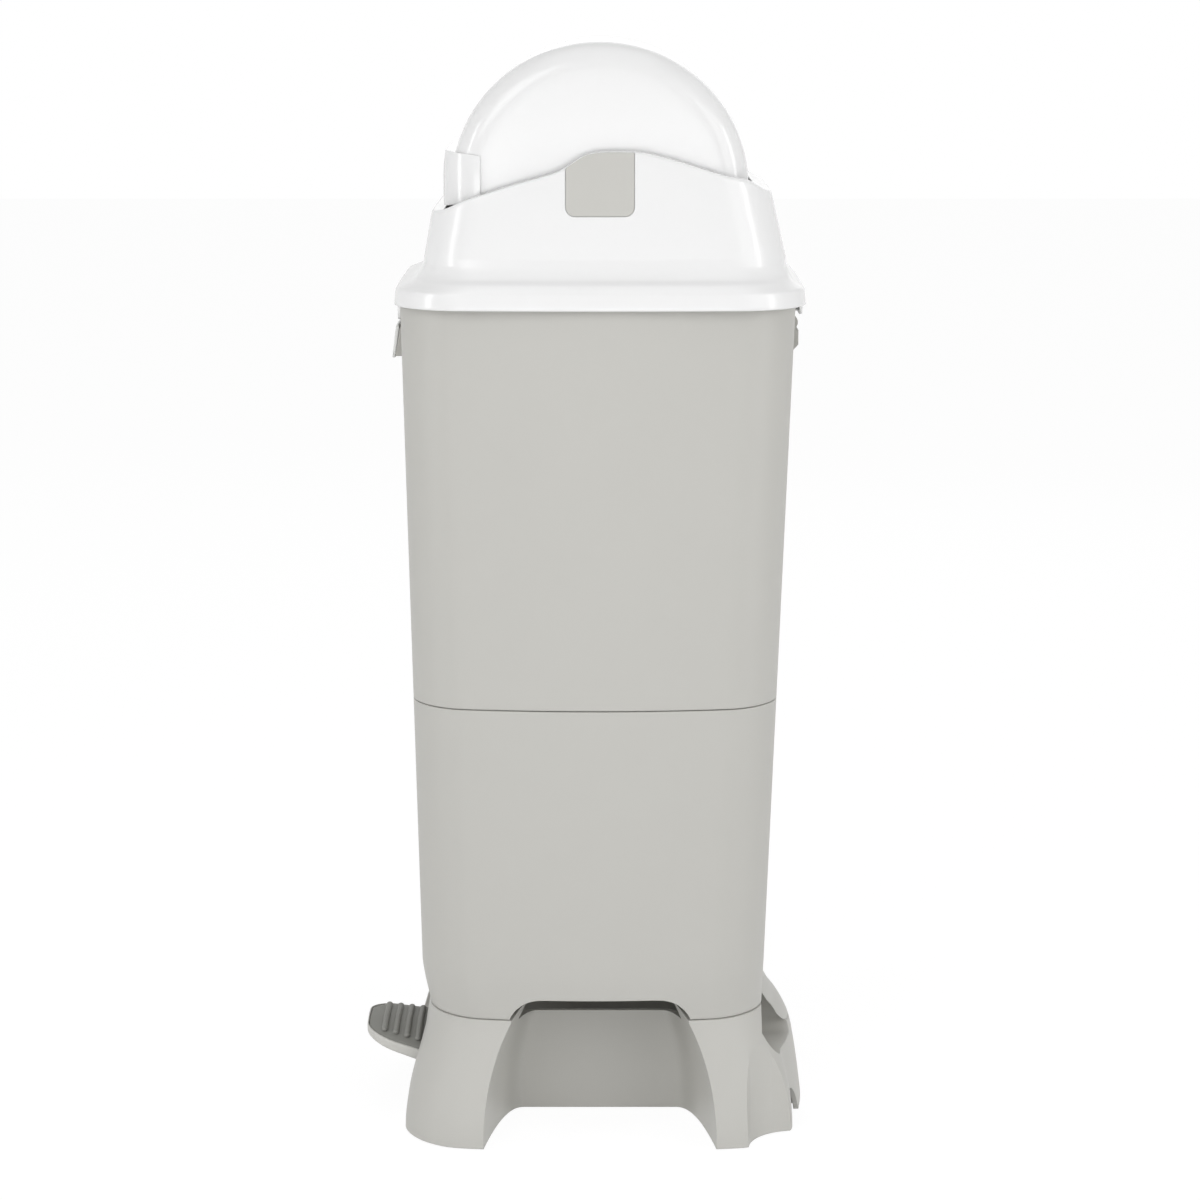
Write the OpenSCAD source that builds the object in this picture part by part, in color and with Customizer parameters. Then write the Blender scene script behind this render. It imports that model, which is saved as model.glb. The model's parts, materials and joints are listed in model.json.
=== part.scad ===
// Hands-free nappy bin. A pedal lifts a push rod, the rod turns a geared rocker in the head, and the
// rocker rolls the domed lid back over its axle. The head hinges up at the rear to change the film.
// +Z is up, the pedal is at -Y, and the origin is on the floor under the middle of the base.

/* [Heights] */
// Height of the seam between the base and the body
seam_z = 81; // [78:1:84]
// Height at which the body's foot starts to tuck in
kink_z = 112; // [108:1:118]
// Height of the parting line between the two halves of the body
parting_z = 289; // [250:1:330]
// Height of the body's rim, which the head closes on
rim_z = 552; // [530:1:580]
// Height of the dome's axle above the rim
axle_rise = 66.5; // [66:0.5:68]
// Underside of the bin's own floor
floor_z = 100; // [99:0.5:103]

/* [Body] */
// Half width of the body at its rim, at the middle of a side
rim_half_w = 118; // [116:0.5:120]
// Half width of the body at the kink
foot_half_w = 111; // [109:0.5:114]
// How far the front stands from the axle's plane at the rim
rim_front = 127.2; // [126.5:0.1:127.4]
// How far the front stands from the axle's plane at the kink
foot_front = 117.7; // [115:0.5:120]
// How far the rear stands from the axle's plane at the rim
rim_rear = 124.6; // [124:0.1:125.2]
// How far the rear stands from the axle's plane at the kink
foot_rear = 108.6; // [107:0.1:110]
// How far the front tucks in between the kink and the seam
foot_tuck = 5; // [2:0.5:6]
// Corner radius of the body, seen from above
corner_r = 34; // [28:1:38]
// Outward bow of the sides
side_bow = 12; // [8:1:13]
// Outward bow of the front and rear
end_bow = 1; // [0.5:0.5:3]
// Wall of the body's shells
wall = 2.6; // [2.2:0.1:3]
// Height of the lap inside the parting line, each way
lap_h = 12; // [8:1:16]

/* [Base] */
// Wall of the base
base_wall = 3; // [2.5:0.1:3.5]
// Outward flare of the sides at the floor
flare_side = 22.8; // [19:0.2:24]
// Outward flare of the front at the floor
flare_front = 16.6; // [13:0.2:18]
// Outward flare of the rear at the floor
flare_rear = 20; // [17:1:21]
// Half length of a side alcove at the floor
alcove_low = 75; // [72:0.5:77]
// Half length of a side alcove at the seam
alcove_high = 59.5; // [58:0.5:63]
// Distance of the alcove's back wall from the middle
alcove_x = 46.5; // [45:0.5:49]
// How far a leg's inner face leans in on its way to the alcove's back wall
alcove_lean = 24; // [18:1:26]
// Height of the alcove's back wall
alcove_top = 69; // [64:1:72]
// Height of the arch over the alcove, in the lower body
arch_z = 95.5; // [92:0.5:97]
// Half width of the pedal's opening in the front
pedal_gap = 57; // [55:1:60]
// Height of the rubber feet below the plastic
foot_pad_h = 0.8; // [0.5:0.1:1.2]

/* [Rear bulge] */
// Half width of the rear bulge where it joins the body
column_half = 92; // [88:1:94]
// Half width of the rear bulge at the floor
column_foot = 90; // [86:1:92]
// How far the bulge stands behind the axle's plane at the floor
column_rear = 137; // [134:0.5:138]
// Outward bow of the bulge, seen from above
column_bow = 20; // [16:1:22]
// Half width of the spine between the two pockets under the bulge
spine_half = 18; // [16:1:22]

/* [Pedal] */
// How far the pedal's tip stands in front of the axle's plane
pedal_reach = 158; // [150:1:164]
// Half width of the pedal near its tip
pedal_tip_half = 35; // [30:1:38]
// Half width of the pedal at its root
pedal_root_half = 50; // [46:1:52]
// Height of the pedal's shaft
shaft_z = 30; // [28:0.5:32]
// Distance of the pedal's shaft in front of the axle's plane
shaft_front = 20; // [16:1:24]
// Radius of the pedal's shaft
shaft_r = 4; // [3:0.5:5]
// Radius of the roller that lifts the push rod
roller_r = 6; // [5:0.5:7]
// Number of ribs on the pedal's pad
pad_ribs = 6; // [3:1:6]
// Distance from one rib of the pad to the next
rib_pitch = 7.6; // [7:0.2:9]

/* [Push rod] */
// Distance of the push rod behind the axle's plane
rod_y = 98; // [97:0.5:99]
// Radius of the push rod
rod_r = 4; // [3:0.5:4.5]

/* [Head] */
// Wall of the head's shell
head_wall = 2.2; // [2:0.1:2.4]
// Half width of the head's band at its lower edge
band_half_w = 124; // [123:0.5:126]
// How far the band stands from the axle's plane, front and rear, at its lower edge
band_reach = 130.6; // [130.4:0.1:131.5]
// How far the band hangs below the rim
band_drop = 7.5; // [5:0.5:9]
// Half width of the head above its shoulder
neck_half_w = 108; // [106:0.5:110]
// How far the neck's front stands from the axle's plane
neck_front = 111.6; // [110.6:0.2:113]
// How far the neck's rear stands from the axle's plane
neck_rear = 117.8; // [116.4:0.2:119]
// Height of the ears above the rim
ear_rise = 89.4; // [88:0.2:91]
// Half width of the badge's bare plate
badge_half = 21.5; // [18:0.5:22]
// Height of the badge's lower edge above the rim
badge_rise = 49.5; // [46:0.5:54]

/* [Dome] */
// Radius of the dome
dome_r = 93.4; // [92.6:0.2:94]
// Half width of the dome
dome_half = 86; // [84:0.5:86.4]
// Radius of the dome's side edges
dome_edge = 17.5; // [12:0.5:20]
// Wall of the dome
dome_wall = 2.4; // [2:0.1:2.6]
// Gap between the dome and the walls of its well
well_gap = 2.3; // [2:0.1:2.4]
// How far the grip stands proud of the dome
grip_proud = 5.4; // [4:0.2:6]
// Radius of the dome's axle pins
pin_r = 5; // [4:0.5:6]

/* [Gears] */
// Module of the two gears
gear_m = 1.5; // [1.5:0.5:1.5]
// Teeth of a whole pinion on the dome's axle
pinion_teeth = 20; // [20:1:20]
// Teeth of a whole wheel of the rocker's size
rocker_teeth = 52; // [52:1:52]
// Thickness of the gears
gear_t = 6; // [5:0.5:6.5]
// Play between two teeth
backlash = 0.5; // [0.4:0.05:0.6]
// Distance of the rocker's pivot behind the axle's plane
rocker_y = 30; // [29:0.5:31]
// Half of the rocker's swing, in degrees
rocker_half_swing = 12.5; // [12:0.5:12.5]

/* [Chute and flaps] */
// Half width of the chute's lower mouth
mouth_half = 66; // [60:1:68]
// Front edge of the chute's lower mouth
mouth_front = 72; // [66:1:74]
// Rear edge of the chute's lower mouth
mouth_rear = 26; // [22:1:27]
// Thickness of a trap flap
flap_t = 2.5; // [2:0.5:3]

/* [Latch and hinge] */
// Half width of the latch's plate
latch_half = 36; // [32:1:40]
// Height of the latch's lower edge below the rim
latch_drop = 45; // [42:1:48]
// Half width of the rear hinge
hinge_half = 37; // [34:1:40]
// Distance of the head's hinge pin below the rim
hinge_drop = 23; // [22:0.5:24]
// Distance of the head's hinge pin behind the axle's plane
hinge_y = 123; // [122.6:0.1:123.4]

/* [Hidden] */
$fn = 48;

grey = "#c1c0bb";
dark_grey = "#7f7f7b";
white = "#f0f0f0";
steel = "#b9bcc0";
rubber = "#3c3c3c";

fit = 0.05;        // radial clearance of a running fit
seat = 0.15;       // gap between two seated shells
arc_n = 6;         // facets of a corner, an even count
side_n = 6;        // facets of a bowed side

axle_z = rim_z + axle_rise;
hinge_z = rim_z - hinge_drop;
well_x = dome_half + well_gap;
plate_t = 2.2;
gear_x = well_x + plate_t + 0.8;

function mix(a, b, t) = a + (b - a) * t;

// ---- Sections: a bowed, rounded rectangle as one ring of points ----
// a: half width, f and b: reach to the front and the rear, r: corner radius, bx and by: the bows
function corner_arc(q, a, h, r) =
    let (sx = q == 0 || q == 3 ? 1 : -1, sy = q < 2 ? 1 : -1)
    [for (i = [0:arc_n]) [sx * (a - r) + r * cos(90 * (q + i / arc_n)),
                          sy * (h - r) + r * sin(90 * (q + i / arc_n))]];
function flat_ring(a, h, r) =
    let (arcs = [for (q = [0:3]) corner_arc(q, a, h, r)])
    [for (q = [0:3]) let (here = arcs[q], next = arcs[(q + 1) % 4], half = arc_n / 2)
        each concat([for (i = [half:arc_n]) here[i]],
                    [for (i = [1:side_n - 1]) mix(here[arc_n], next[0], i / side_n)],
                    [for (i = [0:half - 1]) next[i]])];
function ring(z, a, f, b, r, bx = 0, by = 0) =
    let (h = (f + b) / 2, c = (b - f) / 2)
    [for (p = flat_ring(a, h, r)) [p[0] * (1 + bx / a * (1 - pow(p[1] / h, 2))),
                                   c + p[1] * (1 + by / h * (1 - pow(p[0] / a, 2))), z]];

// A closed solid through rings of equally many points, stacked upwards
module loft(rings) {
    n = len(rings[0]);
    m = len(rings);
    sides = [for (k = [0:m - 2], i = [0:n - 1]) let (j = (i + 1) % n, lo = k * n, hi = lo + n)
        each [[lo + i, hi + j, lo + j], [lo + i, hi + i, hi + j]]];
    polyhedron(points = [for (r = rings) each r],
               faces = concat([[for (i = [0:n - 1]) i]], [[for (i = [n - 1:-1:0]) (m - 1) * n + i]],
                              sides), convexity = 6);
}

// A profile in the Y-Z plane, drawn across X between two planes
module across(x0, x1, points) {
    translate([x0, 0, 0]) rotate([90, 0, 90]) linear_extrude(x1 - x0) polygon(points);
}
// A rod along X
module rod_x(x0, x1, y, z, r) {
    translate([x0, y, z]) rotate([0, 90, 0]) cylinder(h = x1 - x0, r = r);
}
// Both sides of the middle plane
module both() {
    children();
    mirror([1, 0, 0]) children();
}
// A flat rounded plate, by its edges
module slab(x, y0, y1, r, z0, z1) {
    translate([0, 0, z0]) linear_extrude(z1 - z0) rounded(x, y0, y1, r);
}
module rounded(x, y0, y1, r) {
    translate([-x + r, y0]) square([2 * (x - r), y1 - y0]);
    translate([-x, y0 + r]) square([2 * x, y1 - y0 - 2 * r]);
    for (sx = [-1, 1], y = [y0 + r, y1 - r]) translate([sx * (x - r), y]) circle(r);
}
// A coil of round wire along X, as one swept tube
module coil_x(x0, y, z, r, wire, turns, pitch) {
    steps = 12;
    sides = 6;
    total = steps * turns;
    rings = [for (k = [0:total]) let (a = 360 * k / steps)
        [for (i = [0:sides - 1]) let (b = 360 * i / sides, q = r + wire * cos(b))
            [x0 + pitch * k / steps - wire * sin(b), y + q * cos(a), z + q * sin(a)]]];
    loft(rings);
}

// ---- The body's section at a height, drawn in by d ----
function tuck(z) = z >= kink_z ? 0 : pow((kink_z - z) / (kink_z - seam_z), 1.3);
function body_ring(z, d) = let (t = (z - kink_z) / (rim_z - kink_z), k = tuck(z))
    ring(z, mix(foot_half_w, rim_half_w, t) - side_bow - 0.6 * foot_tuck * k - d,
         mix(foot_front, rim_front, t) - end_bow - foot_tuck * k - d,
         mix(foot_rear, rim_rear, t) - end_bow - d, corner_r - d, side_bow, end_bow);
function rear_y(z) = mix(foot_rear, rim_rear, (z - kink_z) / (rim_z - kink_z));
function front_y(z) = -mix(foot_front, rim_front, (z - kink_z) / (rim_z - kink_z));
module body_solid(z0, z1, d) {
    knees = [mix(seam_z, kink_z, 0.34), mix(seam_z, kink_z, 0.68), kink_z];
    loft([for (z = concat([z0], [for (k = knees) if (k > z0 + 0.5 && k < z1 - 0.5) k],
        [z1])) body_ring(z, d)]);
}

// ---- The base's flared skirt ----
base_proud = 0.6;
function rear_flare(z) = sin(90 * max(0, 1 - z / seam_z));
function flare(z) = pow(rear_flare(z), 1.5);
function base_ring(z, d) = let (f = flare(max(z, 0)), k = tuck(seam_z),
    t = (seam_z - kink_z) / (rim_z - kink_z))
    ring(z, mix(foot_half_w, rim_half_w,
        t) - side_bow - 0.6 * foot_tuck * k + flare_side * f + base_proud - d,
         mix(foot_front, rim_front, t) - end_bow - foot_tuck * k + flare_front * f + base_proud - d,
         mix(foot_rear, rim_rear, t) - end_bow + flare_rear * rear_flare(max(z, 0)) + base_proud - d,
         corner_r + 4 * f - d, side_bow, end_bow);
module base_solid(z0, z1, d) {
    n = max(1, round((z1 - z0) / 11.5));
    loft([for (i = [0:n]) base_ring(mix(z0, z1, i / n), d)]);
}

// ---- Side alcoves ----
leg_x = foot_half_w + 11;
function alcove_w(z) = mix(alcove_low, alcove_high, pow(min(1, max(0, z / seam_z)), 2.7));
// In plan the leg's inner face leans in as it goes back, and turns into the back wall
function alcove_side(u) = alcove_lean * (pow(u, 0.45) - 1);
function alcove_ring(z, t) =
    let (w = alcove_w(z) + t, xw = alcove_x - t, deep = leg_x - alcove_x, xo = 150, n = 10,
         us = [for (i = [0:n]) pow(i / n, 2)], yo = w + alcove_side((xo - alcove_x) / deep))
    concat([[xo, -yo, z], [xo, yo, z]],
           [for (i = [n:-1:0]) [xw + deep * us[i], w + alcove_side(us[i]), z]],
           [for (i = [0:n]) [xw + deep * us[i], -w - alcove_side(us[i]), z]]);
module alcove(z0, z1, t) {
    n = 6;
    loft([for (i = [0:n]) alcove_ring(mix(z0, z1, i / n), t)]);
}
// The arch that carries the alcove up into the lower body
module body_arch() {
    w = alcove_high;
    both() across(60, 150, [[-w - 0.5, seam_z - 8], [w + 0.5, seam_z - 8], [w, seam_z],
        [w - 6, mix(seam_z, arch_z, 0.42)], [w - 13, mix(seam_z, arch_z, 0.85)], [w - 22, arch_z],
        [22 - w, arch_z], [13 - w, mix(seam_z, arch_z, 0.85)], [6 - w, mix(seam_z, arch_z, 0.42)],
        [-w, seam_z]]);
}

// ---- Rear bulge: it swells out of the foot of the body and runs down through the base ----
column_top = 97;
column_front = 60;
column_start = rear_y(column_top) - 4;
// How far the bulge has swelled by a height, from the floor up to its top
swell = [[0, 1], [0.103, 0.964], [0.258, 0.903], [0.402, 0.833], [0.478, 0.791], [0.515, 0.758],
    [0.553, 0.706], [0.588, 0.652], [0.626, 0.579], [0.663, 0.494], [0.699, 0.412], [0.736, 0.349],
    [0.773, 0.285], [0.809, 0.221], [0.866, 0.106], [1, 0]];
function column_y(z) = mix(column_start, column_rear, lookup(z / column_top, swell));
function column_ring(z, d) =
    let (v = min(1, max(0, z / 45)), bow = mix(0.575 * column_bow, column_bow, v))
    ring(z, mix(column_foot, column_half, v) - d, -column_front - d, column_y(z) - bow - d,
         12 - d / 2, 0, bow);
module column_solid(z0, z1, d) {
    n = max(1, round((z1 - z0) / 9));
    loft([for (i = [0:n]) column_ring(mix(z0, z1, i / n), d)]);
}
// The seam dips across the bulge
seam_dip = [[90, seam_z + 0.2], [rear_y(seam_z) - 1.2, seam_z + 0.2], [112, 72], [119, 62], [124, 56],
    [127.7, 52], [140, 45]];
module above_dip(up) {
    across(-100, 100, concat([for (p = seam_dip) [p[0], p[1] + up]], [[140, 130], [90, 130]]));
}

// ---- Base ----
pocket_out = 86;
pocket_r = 14;
pocket_z = 48;
pocket_y = rear_y(seam_z) - 1;
rear_arch_x = 68;
rear_arch_w = 18;
rear_arch_h = 21;
deck_z = seam_z - 7;
deck_t = 3;
front_arch_z = seam_z - 20;
screw_spots = [for (sx = [-1, 1]) each [[sx * 82, -90], [sx * 80, 86]]];

// The U-shaped pockets between the rear legs and the spine, grown by t
module pocket(t) {
    x0 = spine_half - t;
    x1 = pocket_out + t;
    r = pocket_r + t;
    both() translate([0, pocket_y - t + 60, pocket_z - t]) rotate([90, 0, 0]) linear_extrude(60) {
        translate([x0 + r, 0]) square([x1 - x0 - 2 * r, 60]);
        translate([x0, r]) square([x1 - x0, 60 - r]);
        for (x = [x0 + r, x1 - r]) translate([x, r]) circle(r);
    }
}
module pocket_backs() {
    intersection() {
        union() {
            base_solid(40, seam_z - 0.2, base_wall / 2);
            column_solid(40, seam_z - 0.2, base_wall / 2);
        }
        pocket(base_wall);
    }
}
module rear_arches() {
    half_round = [for (i = [0:12]) [rear_arch_w * cos(15 * i), rear_arch_h * sin(15 * i)]];
    both() translate([rear_arch_x, 200, 0]) rotate([90, 0, 0]) linear_extrude(115)
        polygon(concat(half_round, [[-rear_arch_w, -2], [rear_arch_w, -2]]));
}
scoop_r = 33.3;
module corner_scoops(t) {
    both() translate([125, 130, 0]) rotate([2.4, -6.8, 0]) translate([0, 0, -20])
        cylinder(h = 90 + t, r = scoop_r + t);
}
module scoop_walls() {
    intersection() {
        base_solid(foot_pad_h, seam_z - 0.2, base_wall / 2);
        corner_scoops(base_wall);
    }
}
module front_arch() {
    r = 14;
    translate([0, -90, 0]) rotate([90, 0, 0]) linear_extrude(80) {
        translate([-pedal_gap, -2]) square([2 * pedal_gap, front_arch_z - r + 2]);
        translate([-pedal_gap + r, -2]) square([2 * (pedal_gap - r), front_arch_z + 2]);
        for (s = [-1, 1]) translate([s * (pedal_gap - r), front_arch_z - r]) circle(r);
    }
}
module corner_decks() {
    intersection() {
        base_solid(deck_z - deck_t, deck_z, base_wall / 2);
        for (p = screw_spots) translate([p[0] - 24, p[1] - 15, deck_z - deck_t - 1])
            cube([48, 30, deck_t + 2]);
    }
}
module alcove_walls() {
    intersection() {
        difference() {
            both() alcove(foot_pad_h, seam_z - 0.2, base_wall);
            translate([-66, 2 - alcove_high, alcove_top]) cube([132, 2 * alcove_high - 4, 40]);
        }
        base_solid(foot_pad_h, seam_z - 0.2, base_wall / 2);
    }
}
module column_part(z0, z1, inner) {
    difference() {
        column_solid(z0, z1, 0);
        column_solid(z0 - 1, z1 + (inner ? 1 : -wall), base_wall);
        translate([-100, 0, -5]) cube([200, rear_y(seam_z) + 2, 200]);
    }
}
module base_shell() {
    color(grey) difference() {
        union() {
            difference() {
                base_solid(foot_pad_h, seam_z - 0.2, 0);
                base_solid(0, seam_z + 1, base_wall);
                front_arch();
                intersection() {
                    column_solid(-1, 90, base_wall - 0.45);
                    translate([-100, 90, -5]) cube([200, 100, 200]);
                }
            }
            alcove_walls();
            column_part(foot_pad_h, seam_z - 0.2, true);
            pocket_backs();
            scoop_walls();
            corner_decks();
            foot_webs();
            both() rod_x(38, alcove_x - 1, -shaft_front, shaft_z, shaft_r + 4);
        }
        both() alcove(-2, seam_z + 2, 0);
        pocket(0);
        rear_arches();
        corner_scoops(0);
        intersection() {
            column_solid(40, 96, -1);
            above_dip(-0.4);
        }
        rod_x(1.5 - alcove_x, alcove_x - 1.5, -shaft_front, shaft_z, shaft_r + fit);
        for (p = screw_spots) translate([p[0], p[1], deck_z - 10]) cylinder(h = 20, r = screw_r + 0.3);
    }
}
screw_r = 1.9;
foot_spots = [for (sx = [-1, 1]) each [[sx * 101, -96], [sx * 104, 88]]];
column_pad_x = 30;
web_z = 4;
web_t = 2.5;
// Webs across the hollow feet, which the rubber pads sit under
module foot_webs() {
    intersection() {
        base_solid(web_z, web_z + web_t, base_wall / 2);
        for (p = foot_spots) translate([p[0] - 13, p[1] - 15, web_z - 1]) cube([26, 30, web_t + 2]);
    }
    intersection() {
        column_solid(web_z, web_z + web_t, base_wall / 2);
        translate([-48, column_rear - 26, 0]) cube([96, 40, 20]);
    }
}
module foot_pads() {
    color(rubber) {
        for (p = foot_spots) translate([p[0], p[1], 0]) cylinder(h = web_z, r = 8);
        for (s = [-1, 1]) translate([s * column_pad_x, column_rear - 16, 0]) cylinder(h = web_z, r = 6);
    }
}
module base_screws() {
    color(steel) for (p = screw_spots) translate([p[0], p[1], deck_z - deck_t]) {
        translate([0, 0, -2.4]) cylinder(h = 2.4, r = 3.6);
        cylinder(h = deck_t + 14, r = screw_r);
    }
}

// ---- Body ----
boss_r = 5;
joint_spots = [for (sx = [-1, 1], y = [-42, 42]) [sx * (mix(foot_half_w, rim_half_w, 0.4) - 10.6), y]];
floor_t = 3;
module lower_body() {
    color(grey) difference() {
        union() {
            difference() {
                body_solid(seam_z, parting_z - 0.1, 0);
                body_solid(floor_z + floor_t, parting_z + 1, wall);
                body_solid(seam_z - 1, floor_z, wall);
            }
            for (p = screw_spots) translate([p[0], p[1], deck_z + 0.1])
                cylinder(h = floor_z + 1 - deck_z, r = boss_r);
            intersection() {
                column_solid(42, column_top, 0);
                above_dip(0);
            }
            difference() {
                union() {
                    loft([body_ring(parting_z - lap_h, wall - 0.4), body_ring(parting_z - 1, wall - 0.4)]);
                    loft([body_ring(parting_z - lap_h + 0.5, wall + seat),
                          body_ring(parting_z + lap_h - 0.6, wall + seat)]);
                }
                loft([body_ring(parting_z - lap_h - 1, wall - 0.2),
                      body_ring(parting_z - lap_h + 3, wall + 2.4),
                      body_ring(parting_z + lap_h + 1, wall + 2.4)]);
            }
            for (p = joint_spots) translate([p[0], p[1], parting_z - lap_h - 8])
                cylinder(h = 2 * lap_h + 8, r = boss_r);
            translate([0, rod_y, floor_z + 0.5]) cylinder(h = 12, r = rod_r + 3);
        }
        intersection() {
            column_solid(41, floor_z - 0.5, base_wall);
            translate([-100, rear_y(seam_z) - 14, 40]) cube([200, 100, floor_z - 40.5]);
        }
        body_arch();
        translate([0, rod_y, floor_z - 5]) cylinder(h = 30, r = rod_r + fit);
        translate([0, rod_y, floor_z - 25]) cylinder(h = 24, r = rod_r + 1.5);
        for (p = screw_spots) translate([p[0], p[1], deck_z - 1]) cylinder(h = 20, r = screw_r);
        for (p = joint_spots) translate([p[0], p[1], parting_z + lap_h - 13])
            cylinder(h = 20, r = screw_r);
    }
}
lug_t = 3;
shelf_z = rim_z - 74;
shelf_t = 3;
window_half = 19;
module upper_body() {
    color(grey) difference() {
        union() {
            difference() {
                body_solid(parting_z + 0.1, rim_z, 0);
                body_solid(parting_z - 1, rim_z + 1, wall);
            }
            intersection() {
                body_solid(parting_z + 5, rim_z - 5, wall / 2);
                union() {
                    for (p = joint_spots) translate([p[0] - 7, p[1] - 7, parting_z + lap_h + 0.1])
                        cube([14, 14, lug_t]);
                    for (sx = [-1, 1], y = [-50, 30]) translate([sx * 112 - 8, y, shelf_z - 10.1])
                        cube([16, 20, 10]);
                    for (x = [-50, 30]) translate([x, front_y(shelf_z) - 1, shelf_z - 10.1])
                        cube([20, 10, 10]);
                }
            }
        }
        translate([-latch_half - 0.2, front_y(rim_z) - 5, latch_z - 0.2])
            cube([2 * latch_half + 0.4, 15, 80]);
        translate([-hinge_half - 0.2, hinge_y - 8, hinge_z - 20.2]) cube([2 * hinge_half + 0.4, 30, 80]);
        for (p = joint_spots) translate([p[0], p[1], parting_z]) cylinder(h = 30, r = screw_r + 0.3);
    }
}
module joint_screws() {
    color(steel) for (p = joint_spots) translate([p[0], p[1], parting_z + lap_h + 0.1 + lug_t]) {
        cylinder(h = 2.4, r = 3.6);
        translate([0, 0, -lug_t - 11]) cylinder(h = lug_t + 11, r = screw_r);
    }
}
module body_seal() {
    color(rubber) difference() {
        loft([body_ring(rim_z, 0.4), body_ring(rim_z + 2.7, 0.4)]);
        loft([body_ring(rim_z - 1, wall - 0.4), body_ring(rim_z + 4, wall - 0.4)]);
        translate([-latch_half - 1, -200, rim_z - 5]) cube([2 * latch_half + 2, 100, 20]);
        translate([-hinge_half - 1, 90, rim_z - 5]) cube([2 * hinge_half + 2, 100, 20]);
    }
}

// ---- Pedal ----
shaft_y = -shaft_front;
arm_half = 18;
fork_half = 9;
slot_half = 4.6;
module pedal_shaft() {
    color(steel) rod_x(2 - alcove_x, alcove_x - 2, shaft_y, shaft_z, shaft_r);
}
module pedal_spring() {
    color(steel) coil_x(arm_half + 2.5, shaft_y, shaft_z, shaft_r + 1.1, 0.9, 5, 3);
}
paddle_root = -104;
tip_round = 20;
function paddle_half(y) = let (u = (y + pedal_reach) / (pedal_reach + paddle_root),
    v = min(1, (y + pedal_reach) / tip_round))
    mix(pedal_tip_half, pedal_root_half, u) - tip_round * (1 - sqrt(1 - pow(1 - v, 2)));
function paddle_top(y) = mix(50, 40, (y + pedal_reach) / (pedal_reach + paddle_root));
function paddle_low(y) = mix(40.5, 25.5, (y + pedal_reach) / (pedal_reach + paddle_root));
function side_of(v, n) = sign(v) * pow(abs(v), 2 / n);
function paddle_ring(y) =
    let (v = min(1, (y + pedal_reach + 1.5) / tip_round), round = 0.5 + 0.5 * sqrt(1 - pow(1 - v, 2)),
        w = paddle_half(y),
         mid = (paddle_top(y) + paddle_low(y)) / 2, h = (paddle_top(y) - paddle_low(y)) / 2 * round)
    [for (i = [0:31]) let (a = 360 * i / 32, x = w * side_of(sin(a), 5))
        [x, y, mid + h * side_of(cos(a), 5) + 3 * (1 - abs(x) / pedal_root_half)]];
module pad_slab(grow) {
    tilt = atan((paddle_top(paddle_root) - paddle_top(-pedal_reach)) / (pedal_reach + paddle_root));
    w = pedal_tip_half - 7 + grow;
    y0 = 8 - grow;
    len = 44 + 2 * grow;
    crown = 3 * w / pedal_root_half;
    translate([0, -pedal_reach, paddle_top(-pedal_reach) + 3.6 - crown]) rotate([tilt, 0, 0])
        translate([0, y0 + len, 0])
        rotate([90, 0, 0]) linear_extrude(len) polygon([[-w, 0], [0, crown], [w, 0], [w, -2.4],
            [-w, -2.4]]);
}
module pedal_arm() {
    color(grey) difference() {
        union() {
            loft([for (t = [0, 0.02, 0.06, 0.12, 0.2, 0.3, 0.42, 0.6, 0.8,
                1]) paddle_ring(mix(-pedal_reach, paddle_root, t))]);
            across(-arm_half, arm_half, [[paddle_root - 12, 30], [paddle_root - 12, 41], [-60, 39],
                [shaft_y - 9, 36], [shaft_y + 9, 36], [50, 35], [50, 25], [shaft_y + 9, 22], [-60, 22]]);
            rod_x(-arm_half, arm_half, shaft_y, shaft_z, shaft_r + 5);
            across(-fork_half, fork_half, [[40, 25], [40, 35], [rod_y + 4, shaft_z + 4.5],
                [rod_y + 4, shaft_z - 4.5]]);
        }
        pad_slab(0);
        rod_x(-60, 60, shaft_y, shaft_z, shaft_r + fit);
        translate([-slot_half, rod_y - 12, 0]) cube([2 * slot_half, 40, 80]);
        rod_x(-20, 20, rod_y, shaft_z, 2);
    }
}
module pedal_pad() {
    tilt = atan((paddle_top(paddle_root) - paddle_top(-pedal_reach)) / (pedal_reach + paddle_root));
    w = pedal_tip_half - 11;
    crown = 3 * w / pedal_root_half;
    color(dark_grey) {
        pad_slab(0);
        for (k = [0:pad_ribs - 1]) translate([0, -pedal_reach, paddle_top(-pedal_reach) + 3.6 - crown])
            rotate([tilt, 0, 0])
            translate([0, 12.8 + rib_pitch * k, 0]) rotate([90, 0, 0]) linear_extrude(3.4)
                polygon([[-w, -0.2], [-w, 1.3], [0, crown + 1.5], [w, 1.3], [w, -0.2], [0, crown - 0.4]]);
    }
}
module pedal_roller() {
    color(white) difference() {
        rod_x(0.3 - slot_half, slot_half - 0.3, rod_y, shaft_z, roller_r);
        rod_x(-20, 20, rod_y, shaft_z, 2 + fit);
    }
}
module roller_pin() {
    color(steel) rod_x(-fork_half, fork_half, rod_y, shaft_z, 2);
}

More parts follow.
